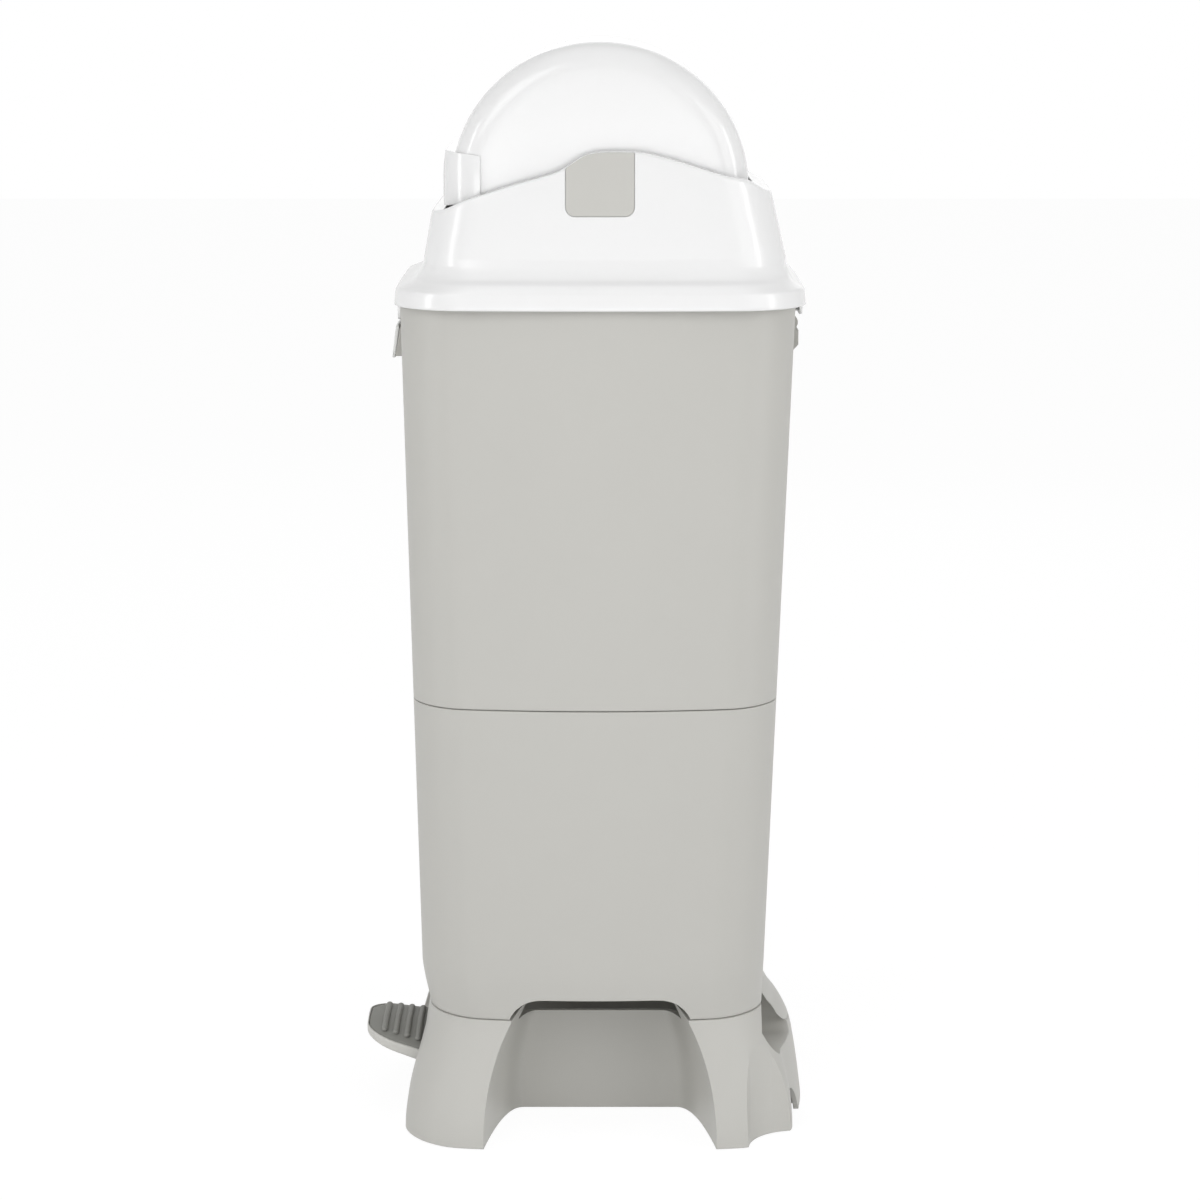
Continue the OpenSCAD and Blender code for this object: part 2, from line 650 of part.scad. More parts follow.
// ---- Push rod ----
rod_low = shaft_z + roller_r + 0.3;
arm_l = rod_y - rocker_y;
arm_t = 4;
pivot_z = axle_z - sqrt(pow(gear_m * (pinion_teeth + rocker_teeth) / 2, 2) - rocker_y * rocker_y);
rod_high = pivot_z - arm_l * tan(rocker_half_swing) - arm_t / cos(rocker_half_swing) - 0.45;
module push_rod() {
    color(steel) translate([0, rod_y, rod_low + 3]) cylinder(h = rod_high - rod_low - 8, r = rod_r);
}
module rod_foot() {
    color(white) translate([0, rod_y, rod_low]) difference() {
        cylinder(h = 9, r = rod_r + 2.5);
        translate([0, 0, 3]) cylinder(h = 10, r = rod_r);
    }
}
tip_r = 10;
module rod_tip() {
    color(white) difference() {
        intersection() {
            translate([0, rod_y, rod_high - 12]) cylinder(h = 12, r = rod_r + 1.5);
            translate([0, rod_y, rod_high - tip_r]) union() {
                sphere(tip_r);
                translate([0, 0, -20]) cylinder(h = 20, r = tip_r);
            }
        }
        translate([0, rod_y, rod_high - 20]) cylinder(h = 15, r = rod_r);
    }
}
cover_half = 10;
cover_y = rod_y - 14;
module rod_cover() {
    z0 = floor_z + floor_t;
    z1 = rim_z - 64;
    color(grey) difference() {
        across(-cover_half, cover_half, [[cover_y, z0], [rear_y(z0) - wall - seat, z0],
            [rear_y(z1) - wall - seat, z1], [cover_y, z1]]);
        translate([-cover_half + 2, cover_y + 2, z0 - 1]) cube([2 * cover_half - 4, 60, z1]);
        translate([-20, rear_y(parting_z - lap_h) - wall - 2.8, parting_z - lap_h - 0.4])
            cube([40, 20, 2 * lap_h + 0.6]);
    }
}
module rod_guide() {
    z0 = rim_z - 62;
    z1 = z0 + 10;
    color(grey) difference() {
        across(-cover_half, cover_half, [[cover_y + 2, z0], [rear_y(z0) - wall - seat, z0],
            [rear_y(z1) - wall - seat, z1],
            [cover_y + 2, z1]]);
        translate([0, rod_y, z0 - 1]) cylinder(h = 20, r = rod_r + fit);
    }
}

// ---- Film cassette on its shelf ----
film_half = 75;
film_front = -80;
film_rear = 40;
film_w = 22;
module film_shelf() {
    color(grey) difference() {
        loft([body_ring(shelf_z, wall + 0.1), body_ring(shelf_z + shelf_t, wall + 0.1)]);
        slab(film_half + 1, film_front - 1, film_rear + 1, 20, shelf_z - 5, shelf_z + 10);
        translate([-cover_half - 0.3, cover_y - 0.3, shelf_z - 5]) cube([2 * cover_half + 0.6, 60, 20]);
    }
}
film_z = shelf_z + shelf_t;
film_h = 30;
module film_cartridge() {
    color(white) difference() {
        slab(film_half + film_w, film_front - film_w, film_rear + film_w - 2, 34, film_z,
            film_z + film_h);
        slab(film_half, film_front, film_rear, 20, film_z - 5, film_z + 90);
        difference() {
            slab(film_half + film_w - 2, film_front - film_w + 2, film_rear + film_w - 4, 32,
                film_z + 2, film_z + film_h - 2);
            slab(film_half + 2, film_front - 2, film_rear + 2, 22, film_z - 5, film_z + 90);
        }
        difference() {
            slab(film_half + 7, film_front - 7, film_rear + 7, 27, film_z + 10, film_z + 90);
            slab(film_half + 2, film_front - 2, film_rear + 2, 22, film_z - 5, film_z + 90);
        }
    }
}
module film_pack() {
    color("#e9e6dc") difference() {
        slab(film_half + film_w - 2.3, film_front - film_w + 2.3, film_rear + film_w - 4.3, 31.7,
            film_z + 2.1, film_z + film_h - 4);
        slab(film_half + 2.3, film_front - 2.3, film_rear + 2.3, 22.3, film_z - 5, film_z + 90);
    }
}
module film_cutter() {
    color(white) translate([-26, film_rear + film_w + 2, film_z]) difference() {
        cube([14, 18, 12]);
        translate([6, -1, 4]) cube([2, 14, 20]);
    }
}

// ---- Latch: a pull plate on the front of the body ----
latch_z = rim_z - latch_drop;
latch_y = -123;
latch_pivot_z = latch_z + 19;
latch_pin_r = 1.5;
striker_z = rim_z - 15;
arm_x = [12, 18];
module latch_housing() {
    top = rim_z - 0.5;
    color(grey) difference() {
        across(-latch_half, latch_half, [[-120.5, latch_z], [-132.2, latch_z], [-129.3, latch_z + 18],
            [-127.9, latch_z + 19.5], [0.1 - rim_front, latch_z + 30], [0.1 - rim_front, top],
                [-120.5, top]]);
        both() translate([arm_x[0] - 0.5, -140, latch_z + 2]) cube([arm_x[1] - arm_x[0] + 1, 30, 80]);
        rod_x(-60, 60, latch_y, latch_pivot_z, latch_pin_r + fit);
        translate([-9, -127, latch_pivot_z - 5]) cube([18, 20, 10]);
    }
}
module latch_pin() {
    color(steel) rod_x(2 - latch_half, latch_half - 2, latch_y, latch_pivot_z, latch_pin_r);
}
module latch_spring() {
    color(steel) coil_x(-7, latch_y, latch_pivot_z, 2.6, 0.4, 6, 2);
}
module latch_lever() {
    low = latch_z - 1.5;
    high = latch_z + 20;
    color(white) difference() {
        union() {
            across(-latch_half, latch_half, [[-134.4, low], [-131.6, high], [-129.9, high],
                [-129.6, latch_z + 18], [-132.5, low]]);
            both() across(arm_x[0], arm_x[1], [[-132, latch_z + 5], [-130.2, latch_z + 16],
                [-126, latch_pivot_z + 3.2],
                [-118.9, striker_z - 1], [-118.9, striker_z + 3.4], [-119.9, striker_z + 4],
                    [-119.9, striker_z + 6.4],
                [-115.6, striker_z + 6.4], [-115.6, striker_z - 3], [-120.2, latch_pivot_z - 1],
                [-123, latch_pivot_z - 3.4], [-127, latch_z + 9]]);
        }
        rod_x(-60, 60, latch_y, latch_pivot_z, latch_pin_r + fit);
    }
}
module latch_striker() {
    color(white) {
        both() across(arm_x[0], arm_x[1], [[-127.1, striker_z], [-120.4, striker_z],
            [-120.4, striker_z + 3],
            [-125, striker_z + 3], [-125, rim_z + 2.9], [-127.1, rim_z + 2.9]]);
        translate([-22, -127.1, rim_z + 0.9]) cube([44, 12, 2]);
    }
}

// ---- Rear hinge ----
knuckle_r = 4.6;
hinge_pin_r = 2;
leaf_x = [7.3, 21.7];
module hinge_bracket() {
    z0 = hinge_z - 20;
    boss = hinge_z - 5.1;
    color(grey) difference() {
        union() {
            translate([-hinge_half, hinge_y - 7.8, z0]) cube([2 * hinge_half, 2.4, hinge_drop + 19.5]);
            across(-hinge_half, hinge_half, [[hinge_y - 6, z0], [hinge_y, z0], [hinge_y + 5, z0 + 5.6],
                [hinge_y + 5, boss], [hinge_y - 6, boss]]);
            for (x = [[-hinge_half, -leaf_x[1] - 0.3], [0.3 - leaf_x[0], leaf_x[0] - 0.3],
                [leaf_x[1] + 0.3, hinge_half]]) {
                rod_x(x[0], x[1], hinge_y, hinge_z, knuckle_r);
                across(x[0], x[1], [[hinge_y - 7, boss - 1], [hinge_y + 3, boss - 1],
                    [hinge_y + 3, hinge_z], [hinge_y - 7, hinge_z]]);
            }
        }
        rod_x(-60, 60, hinge_y, hinge_z, hinge_pin_r + fit);
    }
}
module hinge_pin() {
    color(steel) rod_x(0.5 - hinge_half, hinge_half - 0.5, hinge_y, hinge_z, hinge_pin_r);
}
module hinge_leaf() {
    color(white) difference() {
        union() {
            both() {
                rod_x(leaf_x[0], leaf_x[1], hinge_y, hinge_z, knuckle_r);
                across(leaf_x[0], leaf_x[1], [[hinge_y - 2, hinge_z], [hinge_y + 3.4, hinge_z],
                    [hinge_y + 3.4, rim_z + 3],
                    [hinge_y - 2, rim_z + 3]]);
            }
            across(-leaf_x[1], leaf_x[1], [[hinge_y + 3.2, hinge_z + 6], [hinge_y + 5, hinge_z + 6],
                [hinge_y + 4, rim_z + 3], [hinge_y + 3.2, rim_z + 3]]);
        }
        rod_x(-60, 60, hinge_y, hinge_z, hinge_pin_r + fit);
    }
}

// ---- Head ----
head_bow = 6;
band_top = rim_z + 4;
neck_z = rim_z + 22.4;
shoulder = [[0, 0], [0.19, 0.11], [0.39, 0.57], [0.6, 0.79], [1, 1]];
end_shoulder = [[-0.055, 0], [0, 0.13], [0.18, 0.57], [0.385, 0.79], [0.78, 1]];
shoulder_knees = [-0.055, 0, 0.19, 0.385, 0.6, 0.78, 1];
side_draft = 0.085;
front_draft = 0.177;
rear_draft = 0.23;
function step_in(z, table) = lookup((z - band_top) / (neck_z - band_top), table);
function head_ring(z, d) =
    let (f = step_in(z, shoulder), e = step_in(z, end_shoulder), up = max(0, z - neck_z),
        band = 0.1 * max(0, min(z, band_top) - rim_z + band_drop))
    ring(z, mix(band_half_w - band, neck_half_w, f) - side_draft * up - head_bow - d,
         mix(band_reach - band, neck_front, e) - front_draft * up - end_bow - d,
         mix(band_reach - band, neck_rear, e) - rear_draft * up - end_bow - d,
         43 - 11 * f - d, head_bow, end_bow);
module head_solid(z0, z1, d) {
    knees = [for (k = shoulder_knees) mix(band_top, neck_z, k)];
    loft([for (z = concat([z0], [for (k = knees) if (k > z0 + 0.5 && k < z1 - 0.5) k],
        [z1])) head_ring(z, d)]);
}
// The head's upper edge, seen from the side: low at the front, two ears at the axle, a slope to the rear
ear_line = [[-140, -37.8], [-104.3, -37.8], [-83.4, -30.2], [-53.9, -20.7], [-23.5, -11.3],
    [-18, -7.6], [-8.4, -1.9],
    [-0.7, -0.4], [8.7, 0], [22.9, -0.3], [40.8, -4], [78.7, -15.2], [92.1, -18.1], [106.5, -25.1],
        [140, -25.1]];
module under_ears(down) {
    top = rim_z + ear_rise - down;
    across(-150, 150, concat([[140, rim_z - 60], [-140, rim_z - 60]],
        [for (p = ear_line) [p[0], top + p[1]]]));
}
module badge_area(x0, x1) {
    translate([x0, 0, 0]) rotate([90, 0, 90]) linear_extrude(x1 - x0)
        rounded(badge_half, rim_z + badge_rise, rim_z + ear_rise + 30, 6);
}
tab_z = rim_z - 21.5;
rear_tab_z = hinge_z + 5;
head_spots = [for (sx = [-1, 1], y = [-60, 56]) [sx * (neck_half_w - 2.5), y]];
frame_z = rim_z + 3;
frame_t = 2.5;
badge_t = 1.2;
module head_shell() {
    band_low = rim_z - band_drop;
    difference() {
        color(white) union() {
            difference() {
                intersection() {
                    head_solid(band_low, rim_z + ear_rise + 4, 0);
                    under_ears(0);
                }
                intersection() {
                    head_solid(band_low - 1, rim_z + ear_rise + 5, head_wall);
                    under_ears(head_wall);
                }
                translate([-well_x, -dome_r - 4, frame_z + 10]) cube([2 * well_x, 2 * dome_r + 6.3, 200]);
            }
            intersection() {
                difference() {
                    head_solid(tab_z, rim_z, 0);
                    head_solid(tab_z - 1, rim_z + 1, head_wall);
                }
                union() {
                    translate([-latch_half, -160, tab_z]) cube([2 * latch_half, 80, rim_z - tab_z - 2]);
                    translate([-hinge_half - 1, 80, rear_tab_z])
                        cube([2 * hinge_half + 2, 80, rim_z - rear_tab_z - 2]);
                }
            }
            intersection() {
                for (p = head_spots) translate([p[0], p[1], frame_z + frame_t]) cylinder(h = 16, r = 4);
                head_solid(frame_z, rim_z + 22, head_wall / 2);
            }
        }
        both() intersection() {
            badge_area(60, 140);
            difference() {
                translate([60, -50, rim_z + 41]) cube([100, 100, 109]);
                head_solid(rim_z + 40, rim_z + ear_rise + 5, badge_t + 0.05);
            }
        }
        for (p = head_spots) translate([p[0], p[1], frame_z]) cylinder(h = 14, r = 1.9);
    }
}
module badge() {
    color("#c4c3be") intersection() {
        badge_area(60, 140);
        under_ears(0);
        difference() {
            head_solid(rim_z + 41, rim_z + ear_rise + 4, 0);
            head_solid(rim_z + 40, rim_z + ear_rise + 5, badge_t);
        }
    }
}
module badge_right() {
    badge();
}
module badge_left() {
    mirror([1, 0, 0]) badge();
}
module head_screws() {
    color(steel) for (p = head_spots) translate([p[0], p[1], frame_z]) {
        translate([0, 0, -2.2]) cylinder(h = 2.2, r = 3.4);
        cylinder(h = 13, r = 1.9);
    }
}

// The frame inside the head: a tray that dips into the body, and two cheeks that carry the dome's axle
tray_half = 102;
tray_front = -107;
tray_rear = 82;
tray_low = rim_z - 25.5;
tray_t = 2.5;
tray_wall = 2.2;
lug_x = [mouth_half + 0.5, mouth_half + 3.5];
flap_z = tray_low - 2.5;
flap_axes = [-mouth_front - 1.5, mouth_rear + 1.5];
rocker_pin_r = 3;
module cheek() {
    base = tray_low + tray_t - 0.2;
    difference() {
        union() {
            across(well_x, well_x + plate_t, [[-62, base], [62, base], [60, rim_z + 8], [15, axle_z],
                [-15, axle_z], [-60, rim_z + 8]]);
            rod_x(well_x, well_x + plate_t, 0, axle_z, 15);
        }
        rod_x(0, 150, 0, axle_z, pin_r + fit);
    }
}
module head_frame() {
    color("#e4e4e2") difference() {
        union() {
            difference() {
                slab(tray_half, tray_front, tray_rear, 24, tray_low, frame_z + 1);
                slab(tray_half - tray_wall, tray_front + tray_wall, tray_rear - tray_wall, 22,
                    tray_low + tray_t, frame_z + 10);
            }
            difference() {
                loft([head_ring(frame_z, head_wall + 0.1), head_ring(band_top, head_wall + 0.1),
                      head_ring(frame_z + frame_t, head_wall + 1.5)]);
                slab(tray_half - 0.5, tray_front + 0.5, tray_rear - 0.5, 23.5, frame_z - 1, frame_z + 10);
                translate([-200, tray_rear, frame_z - 1]) cube([400, 100, 20]);
            }
            both() cheek();
            for (y = flap_axes) both() across(lug_x[0], lug_x[1], [[y - 4, tray_low + 0.5],
                [y + 4, tray_low + 0.5],
                [y + 3, flap_z - 3], [y - 3, flap_z - 3]]);
        }
        slab(mouth_half, -mouth_front, mouth_rear, 8, tray_low - 1, tray_low + 20);
        for (y = flap_axes) rod_x(-100, 100, y, flap_z, 1.5 + fit);
        rod_x(-150, 0, rocker_y, pivot_z, rocker_pin_r);
        for (p = head_spots) translate([p[0], p[1], frame_z - 5]) cylinder(h = 20, r = 2.2);
    }
}
module gear_plate() {
    x0 = gear_x + gear_t + 1;
    color("#e4e4e2") mirror([1, 0, 0]) difference() {
        union() {
            across(x0, x0 + 2, [[-20, frame_z + frame_t], [46, frame_z + frame_t], [40, pivot_z + 6],
                [10, axle_z], [-10, axle_z]]);
            rod_x(x0, x0 + 2, 0, axle_z, 10);
            across(x0 - 1, x0 + 6, [[-20, frame_z + frame_t], [46, frame_z + frame_t],
                [46, frame_z + frame_t + 2], [-20, frame_z + frame_t + 2]]);
        }
        rod_x(0, 150, 0, axle_z, pin_r + fit);
        rod_x(0, 150, rocker_y, pivot_z, rocker_pin_r);
    }
}
module rocker_pin() {
    color(steel) rod_x(-gear_x - gear_t - 3, -well_x, rocker_y, pivot_z, rocker_pin_r);
}
module dome_spring() {
    color(steel) coil_x(gear_x + 0.5, 0, axle_z, pin_r + 0.9, 0.7, 3, 1.9);
}

// Chute that the nappy drops through, and the two sprung flaps under it
chute_top = rim_z + 48;
function chute_ring(z, d) = let (t = (z - tray_low - tray_t) / (chute_top - tray_low - tray_t))
    ring(z, mix(mouth_half, 78.5, t) - d, mix(mouth_front, 91.5, t) - d, mix(mouth_rear, 60, t) - d,
        mix(10, 24, t) - d);
module chute() {
    z0 = tray_low + tray_t;
    color("#e4e4e2") difference() {
        union() {
            loft([chute_ring(z0, -2), chute_ring(chute_top, -2)]);
            slab(mouth_half + 7, -mouth_front - 7, mouth_rear + 7, 12, z0, z0 + 2);
        }
        loft([chute_ring(z0 - 2, 0), chute_ring(chute_top + 2, 0)]);
    }
}
module flap(y_axis, y_free) {
    s = sign(y_free - y_axis);
    half = mouth_half - 1;
    y0 = y_axis + s * 1;
    difference() {
        union() {
            translate([-half, min(y0, y_free), flap_z - flap_t / 2])
                cube([2 * half, abs(y_free - y0), flap_t]);
            rod_x(-half, half, y_axis, flap_z, 2.3);
            for (x = [-40, -2, 36]) translate([x, min(y0, y_free - s * 6), flap_z - flap_t / 2 - 2])
                cube([4, abs(y_free - s * 6 - y0), 2.2]);
        }
        rod_x(-100, 100, y_axis, flap_z, 1.5 + fit);
    }
}
mouth_mid = (mouth_rear - mouth_front) / 2;
module flap_front() {
    color(white) flap(flap_axes[0], mouth_mid - 0.5);
}
module flap_rear() {
    color(white) flap(flap_axes[1], mouth_mid + 0.5);
}
module lip(y0, y1) {
    color(rubber) translate([2 - mouth_half, y0, flap_z + flap_t / 2])
        cube([2 * mouth_half - 4, y1 - y0, 1]);
}
module flap_front_lip() {
    lip(mouth_mid - 9, mouth_mid - 0.3);
}
module flap_rear_lip() {
    lip(mouth_mid + 0.3, mouth_mid + 9);
}
module flap_pins() {
    color(steel) for (y = flap_axes) rod_x(-lug_x[1], lug_x[1], y, flap_z, 1.5);
}

// ---- Dome ----
dome_from = -1;
dome_to = 188;
module half_section(r, h, e) {
    translate([0, -h]) square([r - e, 2 * h]);
    translate([0, e - h]) square([r, 2 * (h - e)]);
    for (s = [-1, 1]) translate([r - e, s * (h - e)]) circle(e);
}
module turned(a0, a1, r, h, e) {
    translate([0, 0, axle_z]) rotate([90, 0, 90]) rotate([0, 0, a0]) rotate_extrude(angle = a1 - a0)
        intersection() {
            half_section(r, h, e);
            translate([0, -h]) square([r + 1, 2 * h]);
        }
}
module dome_lid() {
    color(white) difference() {
        union() {
            difference() {
                turned(dome_from, dome_to, dome_r, dome_half, dome_edge);
                turned(dome_from - 2, dome_to + 2, dome_r - dome_wall, dome_half - dome_wall,
                    dome_edge - dome_wall);
            }
            both() rod_x(dome_half - 6, dome_half, 0, axle_z, 13);
        }
        rod_x(-150, 150, 0, axle_z, pin_r);
    }
}
module dome_grip() {
    reach = dome_r + grip_proud;
    half = well_x - 0.4;
    color(white) difference() {
        intersection() {
            slab(half, -reach, 0, 24, axle_z - 20, axle_z + 30);
            across(-200, 200, [[-74.5, axle_z - 7], [-90, axle_z - 10.9], [-105, axle_z - 11.9],
                [-reach, axle_z + 4],
                [-96.8, axle_z + 22.5], [-74.5, axle_z + 19.5]]);
        }
        turned(0, 360, dome_r + 0.02, dome_half + 0.02, dome_edge, $fn = 144);
    }
}
module dome_pins() {
    color(steel) both() rod_x(dome_half - 6, gear_x + gear_t + 3, 0, axle_z, pin_r);
}

// ---- Gears ----
press_angle = 20;
function inv(a) = tan(a) * 180 / PI - a;
function tooth_half(z, rho) = let (rp = gear_m * z / 2, a = acos(min(1, rp * cos(press_angle) / rho)))
    90 / z - backlash / 4 / rp * 180 / PI + inv(press_angle) - inv(a);
module teeth(z, angles) {
    rp = gear_m * z / 2;
    root = rp - 1.25 * gear_m;
    radii = [root - 0.4, rp - 0.5 * gear_m, rp, rp + 0.5 * gear_m, rp + 0.95 * gear_m];
    for (a = angles) polygon(concat(
        [for (r = radii) let (h = tooth_half(z, r)) [r * cos(a - h), r * sin(a - h)]],
        [for (k = [4:-1:0]) let (r = radii[k], h = tooth_half(z, r)) [r * cos(a + h), r * sin(a + h)]]));
}
mesh_angle = -acos(rocker_y / (gear_m * (pinion_teeth + rocker_teeth) / 2));
module dome_pinion() {
    pitch = 360 / pinion_teeth;
    color("#d8d8d4") translate([-gear_x - gear_t, 0, axle_z]) rotate([90, 0, 90])
        linear_extrude(gear_t) difference() {
        union() {
            circle(gear_m * (pinion_teeth / 2 - 1.25));
            teeth(pinion_teeth, [for (k = [-1:5]) mesh_angle + k * pitch]);
        }
        circle(pin_r);
    }
}
module rocker() {
    pitch = 360 / rocker_teeth;
    root = gear_m * (rocker_teeth / 2 - 1.25);
    at_mesh = mesh_angle + 180;
    low = at_mesh - 6.5 * pitch;
    high = at_mesh + 2.2 * pitch;
    color("#d8d8d4") difference() {
        union() {
            translate([-gear_x - gear_t, rocker_y, pivot_z]) rotate([90, 0, 90]) linear_extrude(gear_t) {
                circle(9);
                intersection() {
                    circle(root);
                    polygon([[0, -6], for (a = [low - 8, (low + high) / 2, high + 8]) 60 * [cos(a),
                        sin(a)], [-9, -3]]);
                }
                teeth(rocker_teeth, [for (j = [-6:1]) at_mesh + (j + 0.5) * pitch]);
            }
            translate([0, rocker_y, pivot_z]) rotate([-rocker_half_swing, 0, 0]) translate([0, 0, -arm_t])
                linear_extrude(2 * arm_t) rocker_arm();
        }
        rod_x(-150, 0, rocker_y, pivot_z, rocker_pin_r + fit);
    }
}
module rocker_arm() {
    x0 = gear_x + 0.2;
    x1 = gear_x + gear_t - 0.2;
    polygon([[-x1, -5], [-x0, -5], [-x0, arm_l - 18], [-x0 + 2.8, arm_l - 10], [-x0 + 5, arm_l - 5.5],
        [8, arm_l - 5.5],
        [8, arm_l + 4.5], [-x0 + 3, arm_l + 4.5], [-x1 + 2.8, arm_l - 2], [-x1, arm_l - 14]]);
}

base_shell();
foot_pads();
base_screws();
lower_body();
upper_body();
joint_screws();
pedal_shaft();
pedal_spring();
rod_cover();
rod_guide();
film_shelf();
film_cartridge();
film_pack();
film_cutter();
latch_housing();
latch_pin();
latch_spring();
hinge_bracket();
hinge_pin();
body_seal();
pedal_arm();
pedal_pad();
pedal_roller();
roller_pin();
push_rod();
rod_foot();
rod_tip();
head_shell();
head_frame();
hinge_leaf();
head_screws();
latch_striker();
chute();
badge_left();
badge_right();
gear_plate();
rocker_pin();
flap_pins();
dome_spring();
latch_lever();
dome_lid();
dome_grip();
dome_pins();
dome_pinion();
rocker();
flap_front();
flap_front_lip();
flap_rear();
flap_rear_lip();
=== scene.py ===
import json
import math
import bmesh
import bpy
import numpy as np
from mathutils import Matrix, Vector


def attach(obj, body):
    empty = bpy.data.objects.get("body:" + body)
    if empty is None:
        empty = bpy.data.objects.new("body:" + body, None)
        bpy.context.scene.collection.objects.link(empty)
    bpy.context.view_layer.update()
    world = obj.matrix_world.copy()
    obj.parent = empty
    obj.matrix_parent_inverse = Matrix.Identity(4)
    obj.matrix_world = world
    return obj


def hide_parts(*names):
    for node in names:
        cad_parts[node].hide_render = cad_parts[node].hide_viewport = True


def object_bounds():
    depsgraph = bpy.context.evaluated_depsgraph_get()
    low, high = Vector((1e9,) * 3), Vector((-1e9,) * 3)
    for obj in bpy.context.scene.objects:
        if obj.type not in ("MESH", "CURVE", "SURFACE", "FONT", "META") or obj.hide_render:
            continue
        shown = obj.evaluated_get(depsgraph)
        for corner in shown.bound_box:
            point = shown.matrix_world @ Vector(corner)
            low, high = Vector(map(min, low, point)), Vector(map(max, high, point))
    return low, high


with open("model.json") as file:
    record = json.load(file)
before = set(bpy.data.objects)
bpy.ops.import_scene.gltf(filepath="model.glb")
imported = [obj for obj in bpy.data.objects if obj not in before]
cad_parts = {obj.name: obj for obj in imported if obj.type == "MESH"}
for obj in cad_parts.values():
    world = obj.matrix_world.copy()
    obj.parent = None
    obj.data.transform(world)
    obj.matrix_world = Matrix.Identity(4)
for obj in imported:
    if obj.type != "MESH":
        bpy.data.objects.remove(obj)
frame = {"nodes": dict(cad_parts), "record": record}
cad_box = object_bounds()
MM = 0.001

# ---------------------------------------------------------------- sizes, as in the part's source, in mm
SEAM, KINK, PARTING, RIM, AXLE = 81.0, 112.0, 289.0, 552.0, 618.5
FLOOR_Z = 100.0
NA, NS = 14, 22          # steps of a corner and of a side


def mix(a, b, t):
    return a + (b - a) * t


def ring(z, a, f, b, r, bx=0.0, by=0.0, na=NA, ns=NS):
    h, c = (f + b) / 2, (b - f) / 2
    arcs = []
    for q in range(4):
        sx, sy = (1 if q in (0, 3) else -1), (1 if q < 2 else -1)
        arcs.append([(sx * (a - r) + r * math.cos(math.pi / 2 * (q + i / na)),
                      sy * (h - r) + r * math.sin(math.pi / 2 * (q + i / na))) for i in range(na + 1)])
    pts = []
    for q in range(4):
        p0, p1 = arcs[q][-1], arcs[(q + 1) % 4][0]
        pts += arcs[q] + [(mix(p0[0], p1[0], i / ns), mix(p0[1], p1[1], i / ns)) for i in range(1, ns)]
    return [(x * (1 + bx / a * (1 - (y / h) ** 2)), c + y * (1 + by / h * (1 - (x / a) ** 2)), z) for x,
        y in pts]


def tuck(z):
    return 0.0 if z >= KINK else ((KINK - z) / (KINK - SEAM)) ** 1.3


def body_ring(z, d=0.0):
    t, k = (z - KINK) / (RIM - KINK), tuck(z)
    return ring(z, mix(111, 118, t) - 12 - 3 * k - d, mix(117.7, 127.2, t) - 1 - 5 * k - d,
                mix(108.6, 124.6, t) - 1 - d, 34 - d, 12, 1)


def rear_y(z):
    return mix(108.6, 124.6, (z - KINK) / (RIM - KINK))


def rear_flare(z):
    return math.sin(math.pi / 2 * max(0.0, 1 - z / SEAM))


def flare(z):
    return rear_flare(z) ** 1.5


def base_ring(z, d=0.0):
    f, k, t = flare(max(z, 0)), tuck(SEAM), (SEAM - KINK) / (RIM - KINK)
    return ring(z, mix(111, 118, t) - 12 - 3 * k + 22.6 * f + 0.6 - d,
        mix(117.7, 127.2, t) - 1 - 5 * k + 16.6 * f + 0.6 - d,
                mix(108.6, 124.6, t) - 1 + 20 * rear_flare(max(z, 0)) + 0.6 - d, 34 + 4 * f - d, 12, 1)


def alcove_w(z):
    return mix(75, 59.5, min(1.0, max(0.0, z / SEAM)) ** 2.7)


def alcove_ring(z, t=0.0, side=1):
    w, xw, deep, xo, n = alcove_w(z) + t, 46.5 - t, 75.5, 150, 22
    lean = lambda u: 24 * (u ** 0.45 - 1)
    us = [(i / n) ** 2.4 for i in range(n + 1)]
    yo = w + lean((xo - 46.5) / deep)
    pts = [(xo, -yo), (xo, yo)] + [(xw + deep * u, w + lean(u)) for u in reversed(us)]
    pts += [(xw, mix(1, -1, i / 8) * (w + lean(0))) for i in range(1, 8)]
    pts += [(xw + deep * u, -w - lean(u)) for u in us]
    return [(side * x, y, z) for x, y in (pts if side > 0 else pts[::-1])]


def smooth(points):
    """A monotone curve through points."""
    xs, ys = np.array([p[0] for p in points], float), np.array([p[1] for p in points], float)
    h, d = np.diff(xs), np.diff(ys) / np.diff(xs)
    m = np.zeros(len(xs))
    m[0], m[-1] = d[0], d[-1]
    for i in range(1, len(xs) - 1):
        if d[i - 1] * d[i] > 0:
            w1, w2 = 2 * h[i] + h[i - 1], h[i] + 2 * h[i - 1]
            m[i] = (w1 + w2) / (w1 / d[i - 1] + w2 / d[i])

    def f(x):
        x = min(max(x, xs[0]), xs[-1])
        i = min(int(np.searchsorted(xs, x, "right")) - 1, len(h) - 1)
        t = (x - xs[i]) / h[i]
        return float(ys[i] * (1 + 2 * t) * (1 - t) ** 2 + h[i] * m[i] * t * (1 - t) ** 2
                     + ys[i + 1] * t * t * (3 - 2 * t) + h[i] * m[i + 1] * t * t * (t - 1))
    return f


swell = smooth([(0, 1), (0.103, 0.964), (0.258, 0.903), (0.402, 0.833), (0.478, 0.791), (0.515, 0.758),
    (0.553, 0.706),
                (0.588, 0.652), (0.626, 0.579), (0.663, 0.494), (0.699, 0.412), (0.736, 0.349),
                    (0.773, 0.285),
                (0.809, 0.221), (0.866, 0.106), (1, 0)])


def column_y(z):
    return mix(rear_y(97) - 4, 136.98, swell(z / 97))


def column_ring(z, d=0.0):
    v = min(1.0, max(0.0, z / 45))
    bow = mix(11.5, 20, v)
    return ring(z, mix(90, 92, v) - d, -60 - d, column_y(z) - bow - d, 12 - d / 2, 0, bow)


